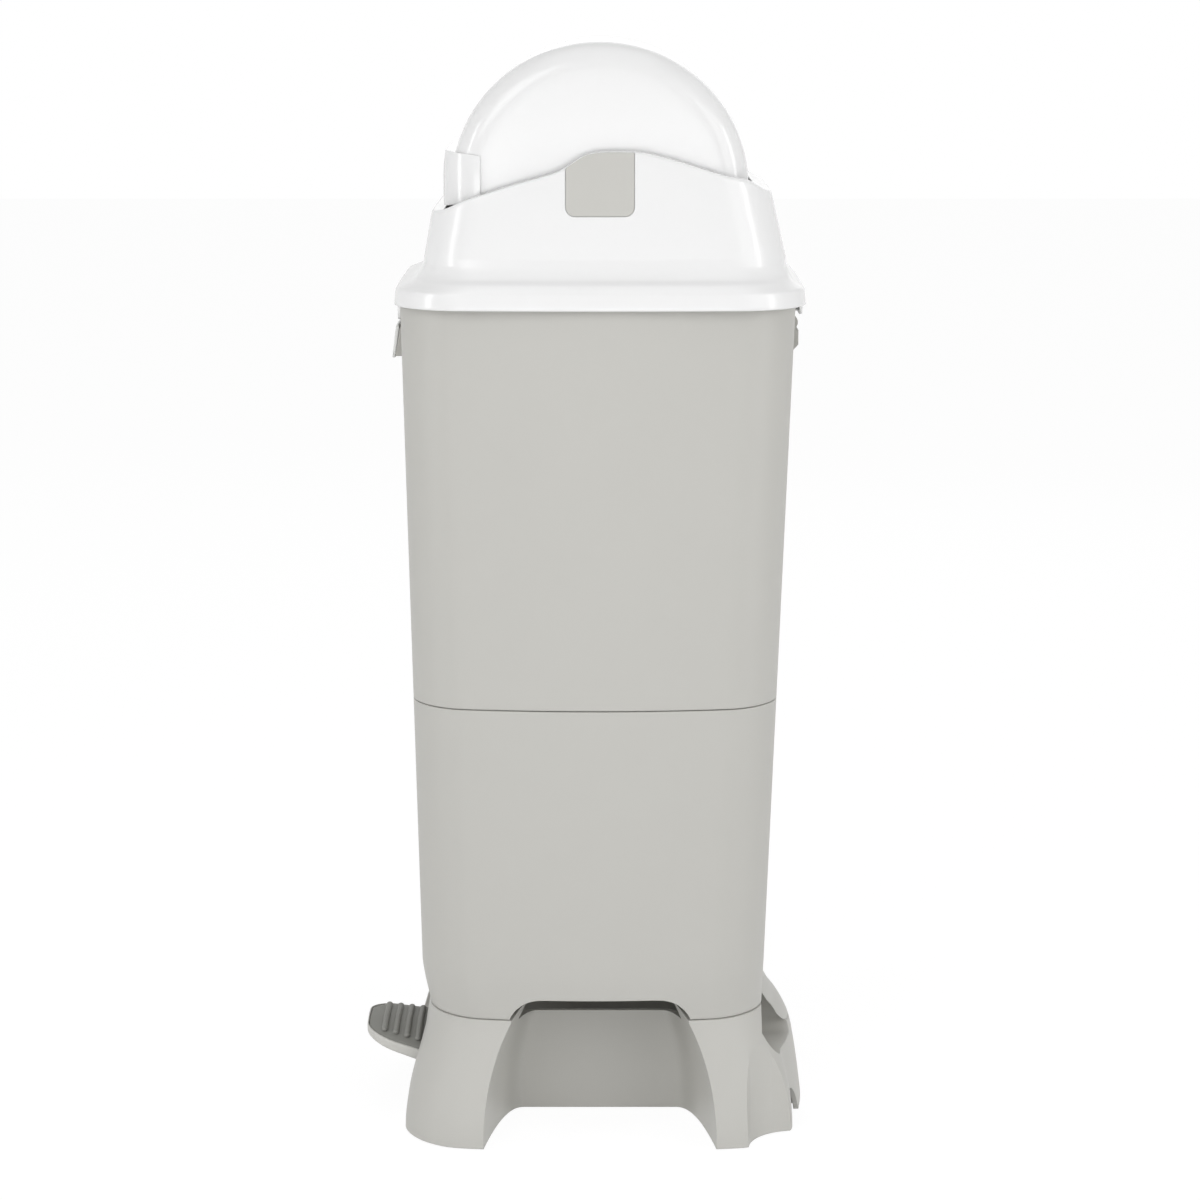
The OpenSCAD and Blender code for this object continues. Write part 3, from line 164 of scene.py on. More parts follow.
# ---------------------------------------------------------------- mesh helpers
coll = bpy.context.scene.collection


def obj_from(name, verts, faces):
    me = bpy.data.meshes.new(name)
    me.from_pydata([(v[0] * MM, v[1] * MM, v[2] * MM) for v in verts], [], faces)
    me.update()
    o = bpy.data.objects.new(name, me)
    coll.objects.link(o)
    return o


def fix_normals(o):
    bm = bmesh.new()
    bm.from_mesh(o.data)
    bmesh.ops.recalc_face_normals(bm, faces=bm.faces)
    bm.to_mesh(o.data)
    bm.free()
    return o


def loft(name, rings, cap=True):
    n, m = len(rings[0]), len(rings)
    verts = [p for r in rings for p in r]
    faces = [(k * n + i, k * n + (i + 1) % n, (k + 1) * n + (i + 1) % n, (k + 1) * n + i)
        for k in range(m - 1) for i in range(n)]
    if cap:
        faces += [tuple(range(n))[::-1], tuple((m - 1) * n + i for i in range(n))]
    return fix_normals(obj_from(name, verts, faces))


def tube(name, rings):
    """A closed skin: the rings run up outside and down inside, and the last joins the first."""
    n, m = len(rings[0]), len(rings)
    verts = [p for r in rings for p in r]
    faces = [(k * n + i, k * n + (i + 1) % n, (k + 1) % m * n + (i + 1) % n, (k + 1) % m * n + i)
        for k in range(m) for i in range(n)]
    return fix_normals(obj_from(name, verts, faces))


def prism(name, pts, lo, hi, axis):
    """A polygon drawn along one axis. pts are in the other two axes, in X, Y, Z order."""
    put = {0: lambda p, t: (t, p[0], p[1]), 1: lambda p, t: (p[0], t, p[1]), 2: lambda p,
        t: (p[0], p[1], t)}[axis]
    n = len(pts)
    verts = [put(p, lo) for p in pts] + [put(p, hi) for p in pts]
    faces = [tuple(range(n)), tuple(range(n, 2 * n))[::-1]] + [(i, (i + 1) % n, n + (i + 1) % n, n + i)
        for i in range(n)]
    return fix_normals(obj_from(name, verts, faces))


def block(name, lo, hi):
    return prism(name, [(lo[0], lo[1]), (hi[0], lo[1]), (hi[0], hi[1]), (lo[0], hi[1])], lo[2], hi[2], 2)


def rod(name, p0, p1, r, n=48):
    a, b = Vector(p0), Vector(p1)
    d = (b - a).normalized()
    u = d.orthogonal().normalized()
    w = d.cross(u)
    circle = [(u * math.cos(2 * math.pi * i / n) + w * math.sin(2 * math.pi * i / n)) * r for i in range(n)]
    verts = [tuple(a + c) for c in circle] + [tuple(b + c) for c in circle]
    faces = [tuple(range(n))[::-1], tuple(range(n, 2 * n))] + [(i, (i + 1) % n, n + (i + 1) % n, n + i)
        for i in range(n)]
    return fix_normals(obj_from(name, verts, faces))


def mirrored(o):
    me = o.data.copy()
    for v in me.vertices:
        v.co.x = -v.co.x
    me.flip_normals()
    c = bpy.data.objects.new(o.name + "_m", me)
    coll.objects.link(c)
    return c


def bake(o):
    dg = bpy.context.evaluated_depsgraph_get()
    dg.update()
    me = bpy.data.meshes.new_from_object(o.evaluated_get(dg))
    o.modifiers.clear()
    old = o.data
    o.data = me
    bpy.data.meshes.remove(old)
    return o


def boolean(o, others, op="DIFFERENCE"):
    for c in others:
        m = o.modifiers.new("b", "BOOLEAN")
        m.operation, m.object, m.solver = op, c, "EXACT"
        bake(o)
    for c in others:
        me = c.data
        bpy.data.objects.remove(c)
        bpy.data.meshes.remove(me)
    return o


def tidy(o, angle=35, merge=0.02):
    bm = bmesh.new()
    bm.from_mesh(o.data)
    bmesh.ops.remove_doubles(bm, verts=bm.verts, dist=merge * MM)
    bmesh.ops.dissolve_degenerate(bm, edges=bm.edges, dist=merge * MM / 2)
    bm.to_mesh(o.data)
    bm.free()
    o.data.shade_smooth()
    o.data.set_sharp_from_angle(angle=math.radians(angle))
    return o


def soften(o, width, segments=3, angle=35):
    m = o.modifiers.new("bevel", "BEVEL")
    m.width, m.segments, m.limit_method = width * MM, segments, "ANGLE"
    m.angle_limit = math.radians(angle)
    m.harden_normals = False
    bake(o)
    return tidy(o, 50)


# ---------------------------------------------------------------- materials
def lin(c):
    return tuple(((v / 255) / 12.92 if v <= 10 else (((v / 255) + 0.055) / 1.055) ** 2.4) for v in c)


def plastic(name, rgb, rough=0.45, spec=0.5, coat=0.0, grain=0.15, grain_mm=0.35, wave=0.02, wave_mm=60,
    edge_mm=0.8,
            tone=0.015, tone_mm=90, scuff=0.05, metallic=0.0):
    """Moulded plastic: a slow drift of tone, a fine texture, slow waves of the moulding, soft edges and worn gloss."""
    m = bpy.data.materials.new(name)
    m.use_nodes = True
    nt = m.node_tree
    N, L = nt.nodes, nt.links
    b = N["Principled BSDF"]
    base = lin(rgb)
    co = N.new("ShaderNodeTexCoord")
    slow = N.new("ShaderNodeTexNoise")
    slow.inputs["Scale"].default_value = 1000 / tone_mm
    slow.inputs["Detail"].default_value = 3
    L.new(co.outputs["Object"], slow.inputs["Vector"])
    ramp = N.new("ShaderNodeMix")
    ramp.data_type = "RGBA"
    ramp.inputs["A"].default_value = (*[max(0, c * (1 - tone)) for c in base], 1)
    ramp.inputs["B"].default_value = (*[min(1, c * (1 + tone)) for c in base], 1)
    L.new(slow.outputs["Fac"], ramp.inputs["Factor"])
    L.new(ramp.outputs["Result"], b.inputs["Base Color"])
    b.inputs["Specular IOR Level"].default_value = spec
    b.inputs["Metallic"].default_value = metallic
    b.inputs["Coat Weight"].default_value = coat
    b.inputs["Coat Roughness"].default_value = 0.12
    wear = N.new("ShaderNodeTexNoise")
    wear.inputs["Scale"].default_value = 1000 / 25
    wear.inputs["Detail"].default_value = 6
    L.new(co.outputs["Object"], wear.inputs["Vector"])
    rr = N.new("ShaderNodeMapRange")
    rr.inputs["To Min"].default_value = max(0.03, rough - scuff)
    rr.inputs["To Max"].default_value = min(1, rough + scuff)
    L.new(wear.outputs["Fac"], rr.inputs["Value"])
    L.new(rr.outputs["Result"], b.inputs["Roughness"])
    edge = N.new("ShaderNodeBevel")
    edge.samples = 6
    edge.inputs["Radius"].default_value = edge_mm * MM
    fine = N.new("ShaderNodeTexNoise")
    fine.inputs["Scale"].default_value = 1000 / grain_mm
    fine.inputs["Detail"].default_value = 2
    L.new(co.outputs["Object"], fine.inputs["Vector"])
    b1 = N.new("ShaderNodeBump")
    b1.inputs["Strength"].default_value = grain
    b1.inputs["Distance"].default_value = 0.03 * MM
    L.new(fine.outputs["Fac"], b1.inputs["Height"])
    L.new(edge.outputs["Normal"], b1.inputs["Normal"])
    big = N.new("ShaderNodeTexNoise")
    big.inputs["Scale"].default_value = 1000 / wave_mm
    big.inputs["Detail"].default_value = 1
    L.new(co.outputs["Object"], big.inputs["Vector"])
    b2 = N.new("ShaderNodeBump")
    b2.inputs["Strength"].default_value = wave
    b2.inputs["Distance"].default_value = 1.0 * MM
    L.new(big.outputs["Fac"], b2.inputs["Height"])
    L.new(b1.outputs["Normal"], b2.inputs["Normal"])
    L.new(b2.outputs["Normal"], b.inputs["Normal"])
    return m


def metal(name, rgb, rough=0.3, stretch=(1, 1, 30)):
    m = plastic(name, rgb, rough, grain=0.05, edge_mm=0.3, wave=0.0, metallic=1.0, tone=0.05, tone_mm=8)
    return m


GREY = plastic("body_grey", (193, 192, 187), 0.48, 0.45, grain=0.22, grain_mm=0.5)
GREY_IN = plastic("inner_grey", (188, 187, 182), 0.55, 0.4, grain=0.2)
BASE_GREY = plastic("base_grey", (193, 192, 187), 0.5, 0.42, grain=0.22, grain_mm=0.5)
PEDAL_GREY = plastic("pedal_grey", (206, 205, 200), 0.5, 0.4, grain=0.22, grain_mm=0.5)
PAD = plastic("pad_grey", (146, 146, 141), 0.62, 0.35, grain=0.45, grain_mm=0.5, tone=0.03)
WHITE = plastic("head_white", (238, 238, 238), 0.26, 0.5, coat=0.25, grain=0.05, tone=0.006, edge_mm=1.2,
    scuff=0.015)
DOME = plastic("dome_white", (236, 236, 236), 0.22, 0.5, coat=0.3, grain=0.04, tone=0.006, edge_mm=1.0,
    scuff=0.015)
FRAME_W = plastic("frame_white", (226, 226, 224), 0.42, 0.45, grain=0.1)
CHUTE_W = plastic("chute_white", (226, 226, 224), 0.3, 0.5, grain=0.06)
LEVER = plastic("lever_white", (225, 226, 224), 0.4, 0.5, grain=0.1, edge_mm=0.6)
LATCH_G = plastic("latch_grey", (176, 175, 170), 0.5, 0.42, grain=0.2)
BADGE = plastic("badge_grey", (196, 195, 190), 0.4, 0.45, grain=0.12, edge_mm=0.5)
CASSETTE = plastic("cassette_white", (222, 222, 222), 0.4, 0.5, grain=0.1)
NYLON = plastic("nylon", (214, 213, 205), 0.45, 0.45, grain=0.1, edge_mm=0.4)
RUBBER = plastic("rubber_dark", (46, 46, 46), 0.8, 0.3, grain=0.4, grain_mm=0.6, tone=0.08)
STEEL = metal("steel", (186, 187, 190), 0.32)
SPRING = metal("spring_steel", (150, 150, 154), 0.35)


def film_material():
    """Pleated film: fine folds along X with a milky, slightly glossy skin."""
    m = plastic("film", (226, 222, 210), 0.35, 0.5, grain=0.05, tone=0.04, tone_mm=12)
    nt = m.node_tree
    N, L = nt.nodes, nt.links
    w = N.new("ShaderNodeTexWave")
    w.bands_direction = "Z"
    w.inputs["Scale"].default_value = 700
    w.inputs["Distortion"].default_value = 1.5
    co = N.new("ShaderNodeTexCoord")
    L.new(co.outputs["Object"], w.inputs["Vector"])
    bp = N.new("ShaderNodeBump")
    bp.inputs["Strength"].default_value = 0.6
    bp.inputs["Distance"].default_value = 0.4 * MM
    L.new(w.outputs["Fac"], bp.inputs["Height"])
    b = N["Principled BSDF"]
    last = b.inputs["Normal"].links[0].from_socket
    L.new(last, bp.inputs["Normal"])
    L.new(bp.outputs["Normal"], b.inputs["Normal"])
    return m


FILM = film_material()

NODE_MAT = {
    "base_shell": BASE_GREY, "foot_pads": RUBBER, "base_screws": STEEL, "lower_body": GREY,
        "upper_body": GREY,
    "joint_screws": STEEL, "pedal_shaft": STEEL, "pedal_spring": SPRING, "rod_cover": GREY_IN,
        "rod_guide": GREY_IN,
    "film_shelf": GREY_IN, "film_cartridge": CASSETTE, "film_pack": FILM, "film_cutter": CASSETTE,
    "latch_housing": LATCH_G, "latch_pin": STEEL, "latch_spring": SPRING, "hinge_bracket": LATCH_G,
        "hinge_pin": STEEL,
    "body_seal": RUBBER, "pedal_arm": PEDAL_GREY, "pedal_pad": PAD, "pedal_roller": NYLON,
        "roller_pin": STEEL,
    "push_rod": STEEL, "rod_foot": NYLON, "rod_tip": NYLON, "head_shell": WHITE, "head_frame": FRAME_W,
    "hinge_leaf": WHITE, "head_screws": STEEL, "latch_striker": FRAME_W, "chute": CHUTE_W,
        "badge_left": BADGE,
    "badge_right": BADGE, "gear_plate": FRAME_W, "rocker_pin": STEEL, "flap_pins": STEEL,
        "dome_spring": SPRING,
    "latch_lever": LEVER, "dome_lid": DOME, "dome_grip": DOME, "dome_pins": STEEL, "dome_pinion": NYLON,
    "rocker": NYLON, "flap_front": FRAME_W, "flap_rear": FRAME_W, "flap_front_lip": RUBBER,
        "flap_rear_lip": RUBBER,
}
BODY_OF = {}
for body, names in frame["record"]["behaviour"]["bodies"].items():
    for n in names:
        BODY_OF[n] = body
for name, o in frame["nodes"].items():
    mat = NODE_MAT[name]
    if not o.material_slots:
        o.data.materials.append(mat)
    for s in o.material_slots:
        s.material = mat


def dress(o, node, mat=None, replaces=True, body=None):
    o.data.materials.clear()
    o.data.materials.append(mat or NODE_MAT[node])
    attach(o, body or BODY_OF[node])
    if replaces:
        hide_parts(node)
    return o

# ---------------------------------------------------------------- body
def zs(lo, hi, step):
    n = max(1, round((hi - lo) / step))
    return [mix(lo, hi, i / n) for i in range(n + 1)]


def body_loft(name, z0, z1, d, step=12.0):
    low = zs(z0, min(KINK, z1), 3.5) if z0 < KINK else [z0]
    high = zs(max(KINK, z0), z1, step)[1:] if z1 > KINK else []
    return loft(name, [body_ring(z, d) for z in low + high])


def above_dip(name, up):
    line = [(90, 81.2), (rear_y(SEAM) - 1.2, 81.2), (112, 72), (119, 62), (124, 56), (127.7, 52), (140, 45)]
    return prism(name, [(y, z + up) for y, z in line] + [(140, 130), (90, 130)], -100, 100, 0)


def arch_points():
    w = 59.5
    half = [(w + 0.6, 72), (w + 0.2, 79), (w - 1.5, 83.5), (w - 4.5, 88), (w - 8.5, 91.6), (w - 13, 94),
        (w - 18, 95.3), (w - 24, 95.6)]
    return half + [(-y, z) for y, z in reversed(half)]


def build_lower():
    rings = [body_ring(SEAM + 0.15, 0.5), body_ring(SEAM + 0.35, 0.15), body_ring(SEAM + 0.7, 0)]
    rings += [body_ring(z) for z in zs(SEAM + 2.5, KINK, 3.5) + zs(KINK, PARTING - 1.5, 14)[1:]]
    rings += [body_ring(PARTING - 0.8, 0), body_ring(PARTING - 0.45, 0.12), body_ring(PARTING - 0.3, 0.4)]
    o = loft("lower_body_skin", rings)
    bulge = loft("t", [column_ring(z) for z in zs(42, 97, 1.4)])
    boolean(bulge, [above_dip("t", 0.25)], "INTERSECT")
    boolean(o, [bulge], "UNION")
    under = body_loft("t", SEAM - 2, FLOOR_Z, 2.6)
    hollow = loft("t", [column_ring(z, 3) for z in zs(41, FLOOR_Z - 0.5, 2.5)])
    boolean(hollow, [block("t", (-100, rear_y(SEAM) - 14, 40), (100, 200, FLOOR_Z + 5))], "INTERSECT")
    arch = prism("t", arch_points(), 60, 150, 0)
    boolean(o, [under, body_loft("t", FLOOR_Z + 3, PARTING + 2, 2.6), hollow, mirrored(arch), arch])
    return tidy(o)


def build_upper():
    rings = [body_ring(PARTING + 0.3, 0.4), body_ring(PARTING + 0.45, 0.12), body_ring(PARTING + 0.8, 0)]
    rings += [body_ring(z) for z in zs(PARTING + 2, RIM - 2, 14)]
    rings += [body_ring(RIM - 0.6, 0.1), body_ring(RIM, 0.6), body_ring(RIM, 2.1),
        body_ring(RIM - 0.5, 2.5)]
    rings += [body_ring(z, 2.6) for z in zs(RIM - 2, PARTING + 2, 40)] + [body_ring(PARTING + 0.3, 2.6)]
    o = tube("upper_body_skin", rings)
    latch = block("t", (-36.2, -135, RIM - 45.2), (36.2, -113, RIM + 20))
    hinge = block("t", (-37.2, 115, RIM - 43.2), (37.2, 140, RIM + 20))
    boolean(o, [latch, hinge])
    return tidy(o)


dress(build_lower(), "lower_body")
dress(build_upper(), "upper_body")


# ---------------------------------------------------------------- base
def build_base():
    top = SEAM - 0.2
    levels = zs(0.8, top - 1.2, 3.2)
    rings = [base_ring(0.8, 0.5)] + [base_ring(z + (0.5 if i == 0 else 0)) for i, z in enumerate(levels)]
    rings += [base_ring(top - 0.6, 0), base_ring(top - 0.25, 0.15), base_ring(top - 0.1, 0.5),
        base_ring(top - 0.1, 3)]
    rings += [base_ring(z, 3) for z in reversed(levels)]
    o = tube("base_skin", rings)

    def solid(d, lo=0.8, hi=top):
        return loft("t", [base_ring(z, d) for z in zs(lo, hi, 4)])

    arch = [(-57, -2)] + [(-43 + 14 * math.cos(math.radians(a)), 47 + 14 * math.sin(math.radians(a)))
        for a in range(180, 85, -10)]
    arch += [(-x, z) for x, z in reversed(arch)]
    front = prism("t", arch, -175, -85, 1)
    inside = loft("t", [column_ring(z, 2.55) for z in zs(-1, 90, 5)])
    boolean(inside, [block("t", (-100, 90, -5), (100, 190, 195))], "INTERSECT")
    boolean(o, [front, inside])
    walls = []
    for side in (1, -1):
        w = loft("alcove_wall", [alcove_ring(z, 3, side) for z in zs(0.8, top - 0.1, 5)])
        boolean(w, [block("t", (-66, -59, 69), (66, 59, 120))])
        boolean(w, [solid(1.5, 0.8, top - 0.1)], "INTERSECT")
        walls.append(w)
    col = loft("t", [column_ring(z) for z in zs(0.8, top - 0.1, 3.4)])
    boolean(col, [loft("t", [column_ring(z, 3) for z in zs(-1, top + 1, 5)]),
        block("t", (-100, -70, -5), (100, rear_y(SEAM) + 2, 195))])
    py = rear_y(SEAM) - 1

    def pocket(side, t):
        r = 14 + t
        arc = [(18 - t + r + r * math.cos(math.radians(a)), 48 - t + r + r * math.sin(math.radians(a)))
            for a in range(180, 271, 9)]
        arc += [(86 + t - r + r * math.cos(math.radians(a)), 48 - t + r + r * math.sin(math.radians(a)))
            for a in range(270, 361, 9)]
        arc = [(18 - t, 104)] + arc + [(86 + t, 104)]
        return prism("t", [(side * x, z) for x, z in arc], py - t, py + 60, 1)

    def scoop(side, t):
        lean = Vector((-math.sin(math.radians(6.8)) * side, -math.sin(math.radians(2.4)), 1)).normalized()
        p = Vector((125 * side, 130, 0))
        return rod("t", p - lean * 20, p + lean * (70 + t), 33.3 + t, 72)

    for side in (1, -1):
        skin = solid(1.5, 40, top - 0.1)
        boolean(skin, [loft("t", [column_ring(z, 1.5) for z in zs(40, top - 0.1, 4)])], "UNION")
        back = pocket(side, 3)
        boolean(back, [skin], "INTERSECT")
        guard = scoop(side, 3)
        boolean(guard, [solid(1.5, 0.8, top - 0.1)], "INTERSECT")
        walls += [back, guard]
        # webs across the hollow feet, over the rubber pads
        for x, y in ((101 * side, -96), (104 * side, 88)):
            web = solid(1.5, 4, 6.5)
            boolean(web, [block("t", (x - 13, y - 15, 3), (x + 13, y + 15, 8.5))], "INTERSECT")
            walls.append(web)
    web = loft("t", [column_ring(z, 1.5) for z in (4, 6.5)])
    boolean(web, [block("t", (-48, 111, 0), (48, 151, 20))], "INTERSECT")
    walls.append(web)
    boolean(o, walls + [col], "UNION")
    cuts = [loft("t", [alcove_ring(z, 0, side) for z in zs(-2, SEAM + 2, 4)]) for side in (1, -1)]
    for side in (1, -1):
        a = [(68 * side + 18 * math.cos(math.radians(t)), 21 * math.sin(math.radians(t)))
            for t in range(0, 181, 10)]
        cuts += [pocket(side, 0), scoop(side, 0),
            prism("t", a + [(68 * side - 18, -2), (68 * side + 18, -2)], 85, 200, 1)]
    dip = loft("t", [column_ring(z, -1) for z in zs(40, 96, 3)])
    boolean(dip, [above_dip("t", -0.45)], "INTERSECT")
    cuts.append(dip)
    boolean(o, cuts)
    return tidy(o)


dress(build_base(), "base_shell")


# ---------------------------------------------------------------- head
BAND_LOW, BAND_TOP, NECK = RIM - 7.5, RIM + 4, RIM + 22.4
EAR_TOP = RIM + 89.4
shoulder = smooth([(0, 0), (0.19, 0.11), (0.39, 0.57), (0.6, 0.79), (1, 1)])
end_shoulder = smooth([(-0.055, 0), (0, 0.13), (0.18, 0.57), (0.385, 0.79), (0.78, 1)])
ear = smooth([(-140, -37.8), (-104.3, -37.8), (-83.4, -30.2), (-53.9, -20.7), (-23.5, -11.3), (-18, -7.6),
    (-8.4, -1.9),
              (-0.7, -0.4), (8.7, 0), (22.9, -0.3), (40.8, -4), (78.7, -15.2), (92.1, -18.1),
                  (106.5, -25.1), (140, -25.1)])


def head_ring(z, d=0.0):
    f, e = shoulder((z - BAND_TOP) / (NECK - BAND_TOP)), end_shoulder((z - BAND_TOP) / (NECK - BAND_TOP))
    up = max(0.0, z - NECK)
    band = 0.1 * max(0.0, min(z, BAND_TOP) - BAND_LOW)
    return ring(z, mix(124 - band, 108, f) - 0.085 * up - 6 - d,
        mix(130.6 - band, 111.6, e) - 0.177 * up - 1 - d,
                mix(130.6 - band, 117.8, e) - 0.23 * up - 1 - d, 43 - 11 * f - d, 6, 1)


def build_head():
    n = 4 * (NA + NS)
    rows = [head_ring(BAND_LOW, 0.9), head_ring(BAND_LOW + 0.2, 0.35), head_ring(BAND_LOW + 0.8, 0)]
    rows += [head_ring(z) for z in zs(BAND_LOW + 2.5, BAND_TOP - 1.6, 2.5)]
    rows += [head_ring(BAND_TOP - 0.8, 0.06), head_ring(BAND_TOP - 0.2, 0.28)]
    rows += [head_ring(z, 0.28 * (1 - min(1, (z - BAND_TOP) / 2.5))) for z in zs(BAND_TOP + 0.4, NECK, 0.8)]
    rows += [head_ring(z) for z in zs(NECK + 1.5, NECK + 6, 1.5)]
    z0 = NECK + 6
    tops, dirs = [], []
    for i in range(n):
        z = 615.0
        for _ in range(12):
            z = EAR_TOP + ear(head_ring(z)[i][1])
        tops.append(z)
    cols = {}
    grid = [head_ring(z) for z in zs(z0, 645, 1.0)]
    step = (645 - z0) / (len(grid) - 1)

    def at(i, z, table=grid):
        k = min(max((z - z0) / step, 0), len(table) - 1.001)
        j = int(k)
        return tuple(mix(table[j][i][c], table[j + 1][i][c], k - j) for c in range(3))

    well = ring(0, 88.3, 97.4, 95.7, 7)
    r = 2.6
    for t in [k / 9 for k in range(1, 10)]:
        rows.append([at(i, mix(z0, tops[i] - r, t)) for i in range(n)])
    corner = [at(i, tops[i]) for i in range(n)]

    def deck(i, t, drop=0.0, table=corner):
        x, y = mix(table[i][0], well[i][0], t), mix(table[i][1], well[i][1], t)
        return (x, y, EAR_TOP + ear(y) - drop)

    inset = [min(0.45, r / max(1e-6, math.dist(corner[i][:2], well[i][:2]))) for i in range(n)]
    for s in [k / 6 for k in range(1, 7)]:
        row = []
        for i in range(n):
            a, k, b = rows[-1 if s < 0.2 else 0][i], corner[i], deck(i, inset[i])
            a = at(i, tops[i] - r)
            row.append(tuple((1 - s) ** 2 * a[c] + 2 * s * (1 - s) * k[c] + s * s * b[c] for c in range(3)))
        rows.append(row)
    for t in (0.25, 0.5, 0.75):
        rows.append([deck(i, mix(inset[i], 1 - 0.12, t)) for i in range(n)])
    rows.append([deck(i, 0.94, 0.05) for i in range(n)])
    rows.append([deck(i, 0.985, 0.3) for i in range(n)])
    rows.append([deck(i, 1.0, 0.9) for i in range(n)])
    rows.append([deck(i, 1.0, 2.2) for i in range(n)])
    inner = [head_ring(z, 2.2) for z in zs(z0, 645, 1.0)]
    foot = [at(i, tops[i] - 2.2, inner) for i in range(n)]
    rows.append([deck(i, 0.5, 2.2, foot) for i in range(n)])
    rows.append([deck(i, 0.0, 2.2, foot) for i in range(n)])
    for t in (0.33, 0.66, 1.0):
        rows.append([at(i, mix(tops[i] - 2.4, z0, t), inner) for i in range(n)])
    rows += [head_ring(z, 2.2) for z in reversed(zs(BAND_LOW + 2, NECK + 2, 0.9))] + [head_ring(BAND_LOW,
        2.0)]
    o = tube("head_skin", rows)
    # badge pockets
    lip = 21.5
    outline = [(-lip, 700)] + [(-lip + 6 + 6 * math.cos(math.radians(a)),
        607.5 + 6 * math.sin(math.radians(a))) for a in range(180, 271, 9)]
    outline += [(-y, z) for y, z in reversed(outline)]
    for side in (1, -1):
        p = prism("t", outline, 60 * side, 140 * side, 0)
        boolean(p, [loft("t", [head_ring(z, 1.25) for z in zs(RIM + 10, 646, 3)])])
        boolean(o, [p])
    return tidy(o, 40, 0.005)


dress(build_head(), "head_shell")


def tab(name, half, z_low, z_high, front):
    """A tab that hangs from the band, with rounded lower corners, in the band's own curve."""
    s = -1 if front else 1
    nx, nz = 36, 12
    r = 4.0

    def point(x, z, d):
        reach = 130.6 - 0.1 * max(0.0, z - BAND_LOW) - 1 - d
        a = 124 - 6
        return (x, s * (reach + (1 - (x / a) ** 2)), z)

    def low(x):
        e = max(0.0, abs(x) - (half - r))
        return z_low + r - math.sqrt(max(0.0, r * r - e * e))
    verts, faces = [], []
    for d in (0.12, 2.1):
        for j in range(nz + 1):
            for i in range(nx + 1):
                x = half * math.sin(math.pi / 2 * (2 * i / nx - 1))
                verts.append(point(x, mix(low(x), z_high, j / nz), d))
    w, page = nx + 1, (nx + 1) * (nz + 1)
    for j in range(nz):
        for i in range(nx):
            a = j * w + i
            faces.append((a, a + 1, a + 1 + w, a + w))
            faces.append((page + a, page + a + w, page + a + 1 + w, page + a + 1))
    rim = [i for i in range(w)] + [j * w + nx for j in range(1, nz + 1)] + [nz * w + i
        for i in range(nx - 1, -1, -1)] + [j * w for j in range(nz - 1, 0, -1)]
    for k, a in enumerate(rim):
        b = rim[(k + 1) % len(rim)]
        faces.append((a, page + a, page + b, b))
    o = fix_normals(obj_from(name, verts, faces))
    return soften(o, 0.6, 3, 50)


def plain(o, mat, body):
    o.data.materials.clear()
    o.data.materials.append(mat)
    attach(o, body)
    return o


plain(tab("head_tab_front", 36.0, RIM - 21.5, RIM - 3, True), WHITE, "head")
plain(tab("head_tab_rear", 38.0, RIM - 18, RIM - 3, False), WHITE, "head")


def build_badge(side, name):
    lip = 21.25
    outline = [(-lip, 700)] + [(-lip + 5.8 + 5.8 * math.cos(math.radians(a)),
        607.55 + 5.8 * math.sin(math.radians(a))) for a in range(180, 271, 9)]
    outline += [(-y, z) for y, z in reversed(outline)]
    o = prism(name, outline, 60 * side, 140 * side, 0)
    pts = [(y, EAR_TOP + ear(y) - 0.35) for y in np.linspace(-30, 30, 41)]
    roof = prism("t", [(-30, 590)] + pts + [(30, 590)], -150, 150, 0)
    boolean(o, [roof, loft("t", [head_ring(z, 0.12) for z in zs(RIM + 10, 646, 3)])], "INTERSECT")
    boolean(o, [loft("t", [head_ring(z, 1.2) for z in zs(RIM + 9, 647, 3)])])
    return tidy(soften(o, 0.35, 2, 40), 40)


dress(build_badge(1, "badge_plate_right"), "badge_right")
dress(build_badge(-1, "badge_plate_left"), "badge_left")


# ---------------------------------------------------------------- dome
DOME_R, DOME_H, DOME_E, DOME_W = 93.4, 86.0, 17.5, 2.4


def crown(q):
    return AXLE + (q * 0.958 if q > 0 else q)


def dome_profile(r, h, e):
    pts = [(-h, q) for q in (0.8, 14, 30, 46, 60, r - e - 4)]
    pts += [(-h + e * (1 - math.cos(math.radians(a))), r - e + e * math.sin(math.radians(a)))
        for a in range(0, 91, 6)]
    pts += [(x, r) for x in np.linspace(-(h - e), h - e, 9)[1:-1]]
    half = [p for p in pts if p[0] < -0.01]
    return half + [(0.0, r)] + [(-x, q) for x, q in reversed(half)]


def build_dome():
    a0, a1, steps = -1.0, 188.0, 126
    out, inn = dome_profile(DOME_R, DOME_H, DOME_E), dome_profile(DOME_R - DOME_W, DOME_H - DOME_W,
        DOME_E - DOME_W)
    loop = out + inn[::-1]
    m = len(loop)
    verts, faces = [], []
    for k in range(steps + 1):
        a = math.radians(mix(a0, a1, k / steps))
        verts += [(x, q * math.cos(a), crown(q * math.sin(a))) for x, q in loop]
    for k in range(steps):
        for i in range(m):
            j = (i + 1) % m
            faces.append((k * m + i, k * m + j, (k + 1) * m + j, (k + 1) * m + i))
    faces += [tuple(range(m)), tuple(steps * m + i for i in range(m))[::-1]]
    o = fix_normals(obj_from("dome_shell", verts, faces))
    boolean(o, [rod("t", (s * 80, 0, AXLE), (s * 85.9, 0, AXLE), 13) for s in (1, -1)], "UNION")
    boolean(o, [rod("t", (-150, 0, AXLE), (150, 0, AXLE), 5.02)])
    return tidy(o, 40)


dress(build_dome(), "dome_lid")


